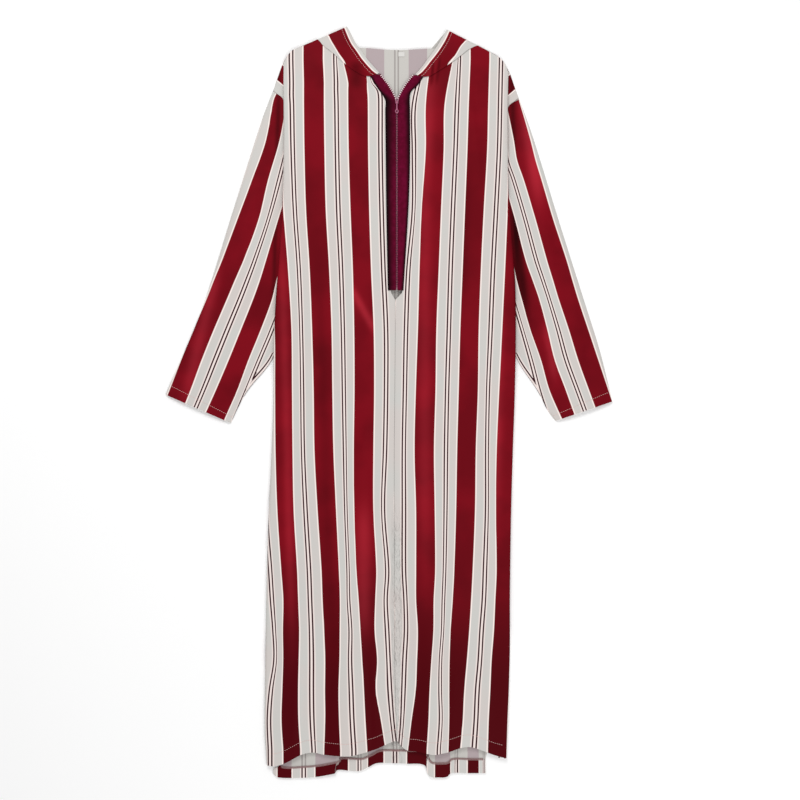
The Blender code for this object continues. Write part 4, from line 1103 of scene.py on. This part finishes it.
# y and z of the pull are on the hinge; plates, lug and neck are outlines seen from above
pullShape = {
    "x": 13.0, "sliderY": 573.5, "sliderTop": 14.2, "pullY": 568.5, "pullZ": 16.0, "tilt": 8.0,
    "ring": {"y": -15.9, "halfLong": 2.9, "halfWide": 2.5, "tube": 0.95, "thick": 0.6, "steps": 48},
    "eye": {"half": 1.4, "inside": 0.9, "outside": 1.5, "steps": 28},
    "neck": [(-1.5, -12.9), (1.5, -12.9), (0.9, -7.5), (1.2, -1.1), (-1.2, -1.1), (-0.9, -7.5)],
    "neckHalf": 0.55,
    # half width, distance along from the middle
    "plate": [(0.3, -1.6), (2.3, 2.6), (3.8, 2.2), (3.0, -1.4), (2.4, -3.6), (2.2, -6.2), (1.8, -6.6)],
    "plateThick": 1.6, "lowPlate": (6.8, 8.2), "post": [(-1.2, 3.7), (1.2, 3.7), (0.6, 6.1), (-0.6, 6.1)],
    "lugAway": 2.2, "lug": [(-0.5, -1.5), (0.5, -1.5), (0.5, 1.5), (-0.5, 1.5)], "lugAbove": 1.3,
    "pinRadius": 0.6, "pinHalf": 2.6, "bevel": 0.3,
}


def moved(points, x, y):
    return [(px + x, py + y) for px, py in points]


def addPrism(mesh, points, z0, z1):
    skin(mesh, [[(x, y, z) for x, y in points] for z in (z0, z1)])


def addBar(mesh, radius, half, x, y, z, sides=24):
    made = bmesh.ops.create_cone(
        mesh, cap_ends=True, segments=sides, radius1=radius, radius2=radius, depth=1.0)
    for vert in made["verts"]:
        a, b, c = vert.co
        vert.co = (x + c * 2 * half, y + a, z + b)


def finishMetal(name, mesh, body, node, bevel=0.0):
    bmesh.ops.recalc_face_normals(mesh, faces=mesh.faces)
    bmesh.ops.scale(mesh, vec=(mm, mm, mm), verts=mesh.verts)
    thing = placeObject(name, meshData(name, mesh), 35)
    if bevel:
        step = thing.modifiers.new("rounded_edges", "BEVEL")
        step.width = bevel * mm
        step.segments = 3
        step.limit_method = "ANGLE"
    return finishPiece(thing, pullMetal, body, [node])


def makeSlider():
    s = pullShape
    x, y, z = s["x"], s["sliderY"], s["sliderTop"]
    half = moved(s["plate"], x, y)
    plate = half + [(2 * x - px, py) for px, py in half[::-1]]
    mesh = bmesh.new()
    addPrism(mesh, plate, z - s["plateThick"], z)
    addPrism(mesh, plate, *s["lowPlate"])
    addPrism(mesh, moved(s["post"], x, y), s["lowPlate"][1] - 0.1, z - s["plateThick"] + 0.1)
    for side in (-1, 1):
        lug = moved(s["lug"], x + side * s["lugAway"], s["pullY"])
        addPrism(mesh, lug, z - 0.1, s["pullZ"] + s["lugAbove"])
    addBar(mesh, s["pinRadius"], s["pinHalf"], x, s["pullY"], s["pullZ"])
    return finishMetal("zip_slider_metal", mesh, "robe", "zip_slider", s["bevel"])


def makePull():
    s = pullShape
    mesh = bmesh.new()
    eye, ring = s["eye"], s["ring"]
    loops = []
    for a in np.linspace(0, 2 * math.pi, eye["steps"], endpoint=False):  # the eye turns on the pin
        wall = [(-1, "inside"), (-1, "outside"), (1, "outside"), (1, "inside")]
        loops.append([(k * eye["half"], eye[key] * math.cos(a), eye[key] * math.sin(a)) for k, key in wall])
    skin(mesh, loops, closed=True)
    loops = []
    for a in np.linspace(0, 2 * math.pi, ring["steps"], endpoint=False):  # the oval ring
        cx, cy = ring["halfWide"] * math.sin(a), ring["y"] + ring["halfLong"] * math.cos(a)
        nx, ny = math.sin(a) / ring["halfWide"], math.cos(a) / ring["halfLong"]
        nx, ny = ring["tube"] * np.array([nx, ny]) / math.hypot(nx, ny)
        b = np.linspace(0, 2 * math.pi, 10, endpoint=False)
        loops.append(np.stack([cx + nx * np.cos(b), cy + ny * np.cos(b), ring["thick"] * np.sin(b)], -1))
    skin(mesh, loops, closed=True)
    addPrism(mesh, s["neck"], -s["neckHalf"], s["neckHalf"])
    tilt = math.radians(s["tilt"])
    for vert in mesh.verts:
        x, y, z = vert.co
        vert.co = (x + s["x"], y * math.cos(tilt) - z * math.sin(tilt) + s["pullY"],
                   y * math.sin(tilt) + z * math.cos(tilt) + s["pullZ"])
    return finishMetal("zip_pull_metal", mesh, "pull", "zip_pull")


makeSlider()
makePull()
print("slider ready")


# label and stitches

labelShape = {
    "x": (16.0, 27.8), "y": (657.5, 666.0), "thickness": 0.7, "above": 0.8, "wave": 0.25, "waveStep": 3.1,
}


def makeLabel():
    shape = labelShape
    floor = levels["overHood"] + levels["panel"] + levels["seamGap"]
    x, y = np.meshgrid(np.linspace(*shape["x"], 14), np.linspace(*shape["y"], 12))
    z = floor + shape["above"] + shape["wave"] * np.sin((x - shape["x"][0]) / shape["waveStep"])
    return clothShell("neck_label_cloth", np.stack([x, y, z], -1), x, shape["thickness"], 1)


finishPiece(makeLabel(), labelCloth, "robe", ["neck_label"])


def lift(points, amount=0.15):
    return np.array(points) + np.array([0.0, 0.0, amount])


def makeStitches():
    lines = []
    for side in (-1, 1):
        grid, row = fronts[side][1:]
        tube, cuffRow = sleeves[side][1:]
        lines += [grid[row, 18:-1], tube[cuffRow, 7:4 + sleeveShape["half"]], hoods[side][1][3:]]
    thing = repeatPiece("topstitching", [lift(line) for line in lines], 4.0, stitchBead, paleThread)
    finishPiece(thing, paleThread, "robe")
    edge = lift(backHemTop[0, 2:-2], 0.1)
    thing = repeatPiece("overlock_back_hem", [edge], 1.1, loopBead, overlockThread)
    finishPiece(thing, overlockThread, "robe")


makeStitches()
for bead in (stitchBead, loopBead, toothBead, openBead):
    bpy.data.objects.remove(bead)
print("label and stitches ready")


# floor, light and camera

setShape = {
    "floor": "#ffffff", "floorHalf": 6.0, "world": "#ffffff", "worldStrength": 0.53, "lens": 100.0,
    "camera": (0.019, 0.00475, 4.23),
    "key": {"at": (-0.5, 1.6, 2.0), "size": 1.3, "power": 26.0},
    "fill": {"at": (0.9, -1.3, 2.3), "size": 2.0, "power": 27.0},
}


def makeSet():
    mesh = bpy.data.meshes.new("floor")
    r = setShape["floorHalf"]
    mesh.from_pydata([(-r, -r, 0), (r, -r, 0), (r, r, 0), (-r, r, 0)], [], [(0, 1, 2, 3)])
    floor = placeObject("floor", mesh)
    paint, tree, shader = newMaterial("matteWhitePaperFloor")  # one even matt white, like a paper backdrop
    shader.inputs["Base Color"].default_value = hexColor(setShape["floor"])
    shader.inputs["Roughness"].default_value = 0.9
    mesh.materials.append(paint)
    world = bpy.data.worlds.new("studio")
    world.use_nodes = True
    sky = world.node_tree.nodes["Background"]
    sky.inputs["Color"].default_value = hexColor(setShape["world"])
    sky.inputs["Strength"].default_value = setShape["worldStrength"]
    bpy.context.scene.world = world
    for name in ("key", "fill"):
        facts = setShape[name]
        light = bpy.data.lights.new(name, "AREA")
        light.shape = "DISK"
        light.size = facts["size"]
        light.energy = facts["power"]
        lamp = placeObject(name, light)
        lamp.location = facts["at"]
        x, y, z = facts["at"]
        lamp.rotation_euler = (math.atan2(math.hypot(x, y), z), 0.0, math.atan2(-y, -x) - math.pi / 2)
    data = bpy.data.cameras.new("camera")
    data.lens, data.sensor_width = setShape["lens"], 36.0
    camera = placeObject("camera", data)
    camera.location = setShape["camera"]
    bpy.context.scene.camera = camera
    bpy.context.scene.view_settings.view_transform = "Standard"


makeSet()
print("set ready")
print("set ready")
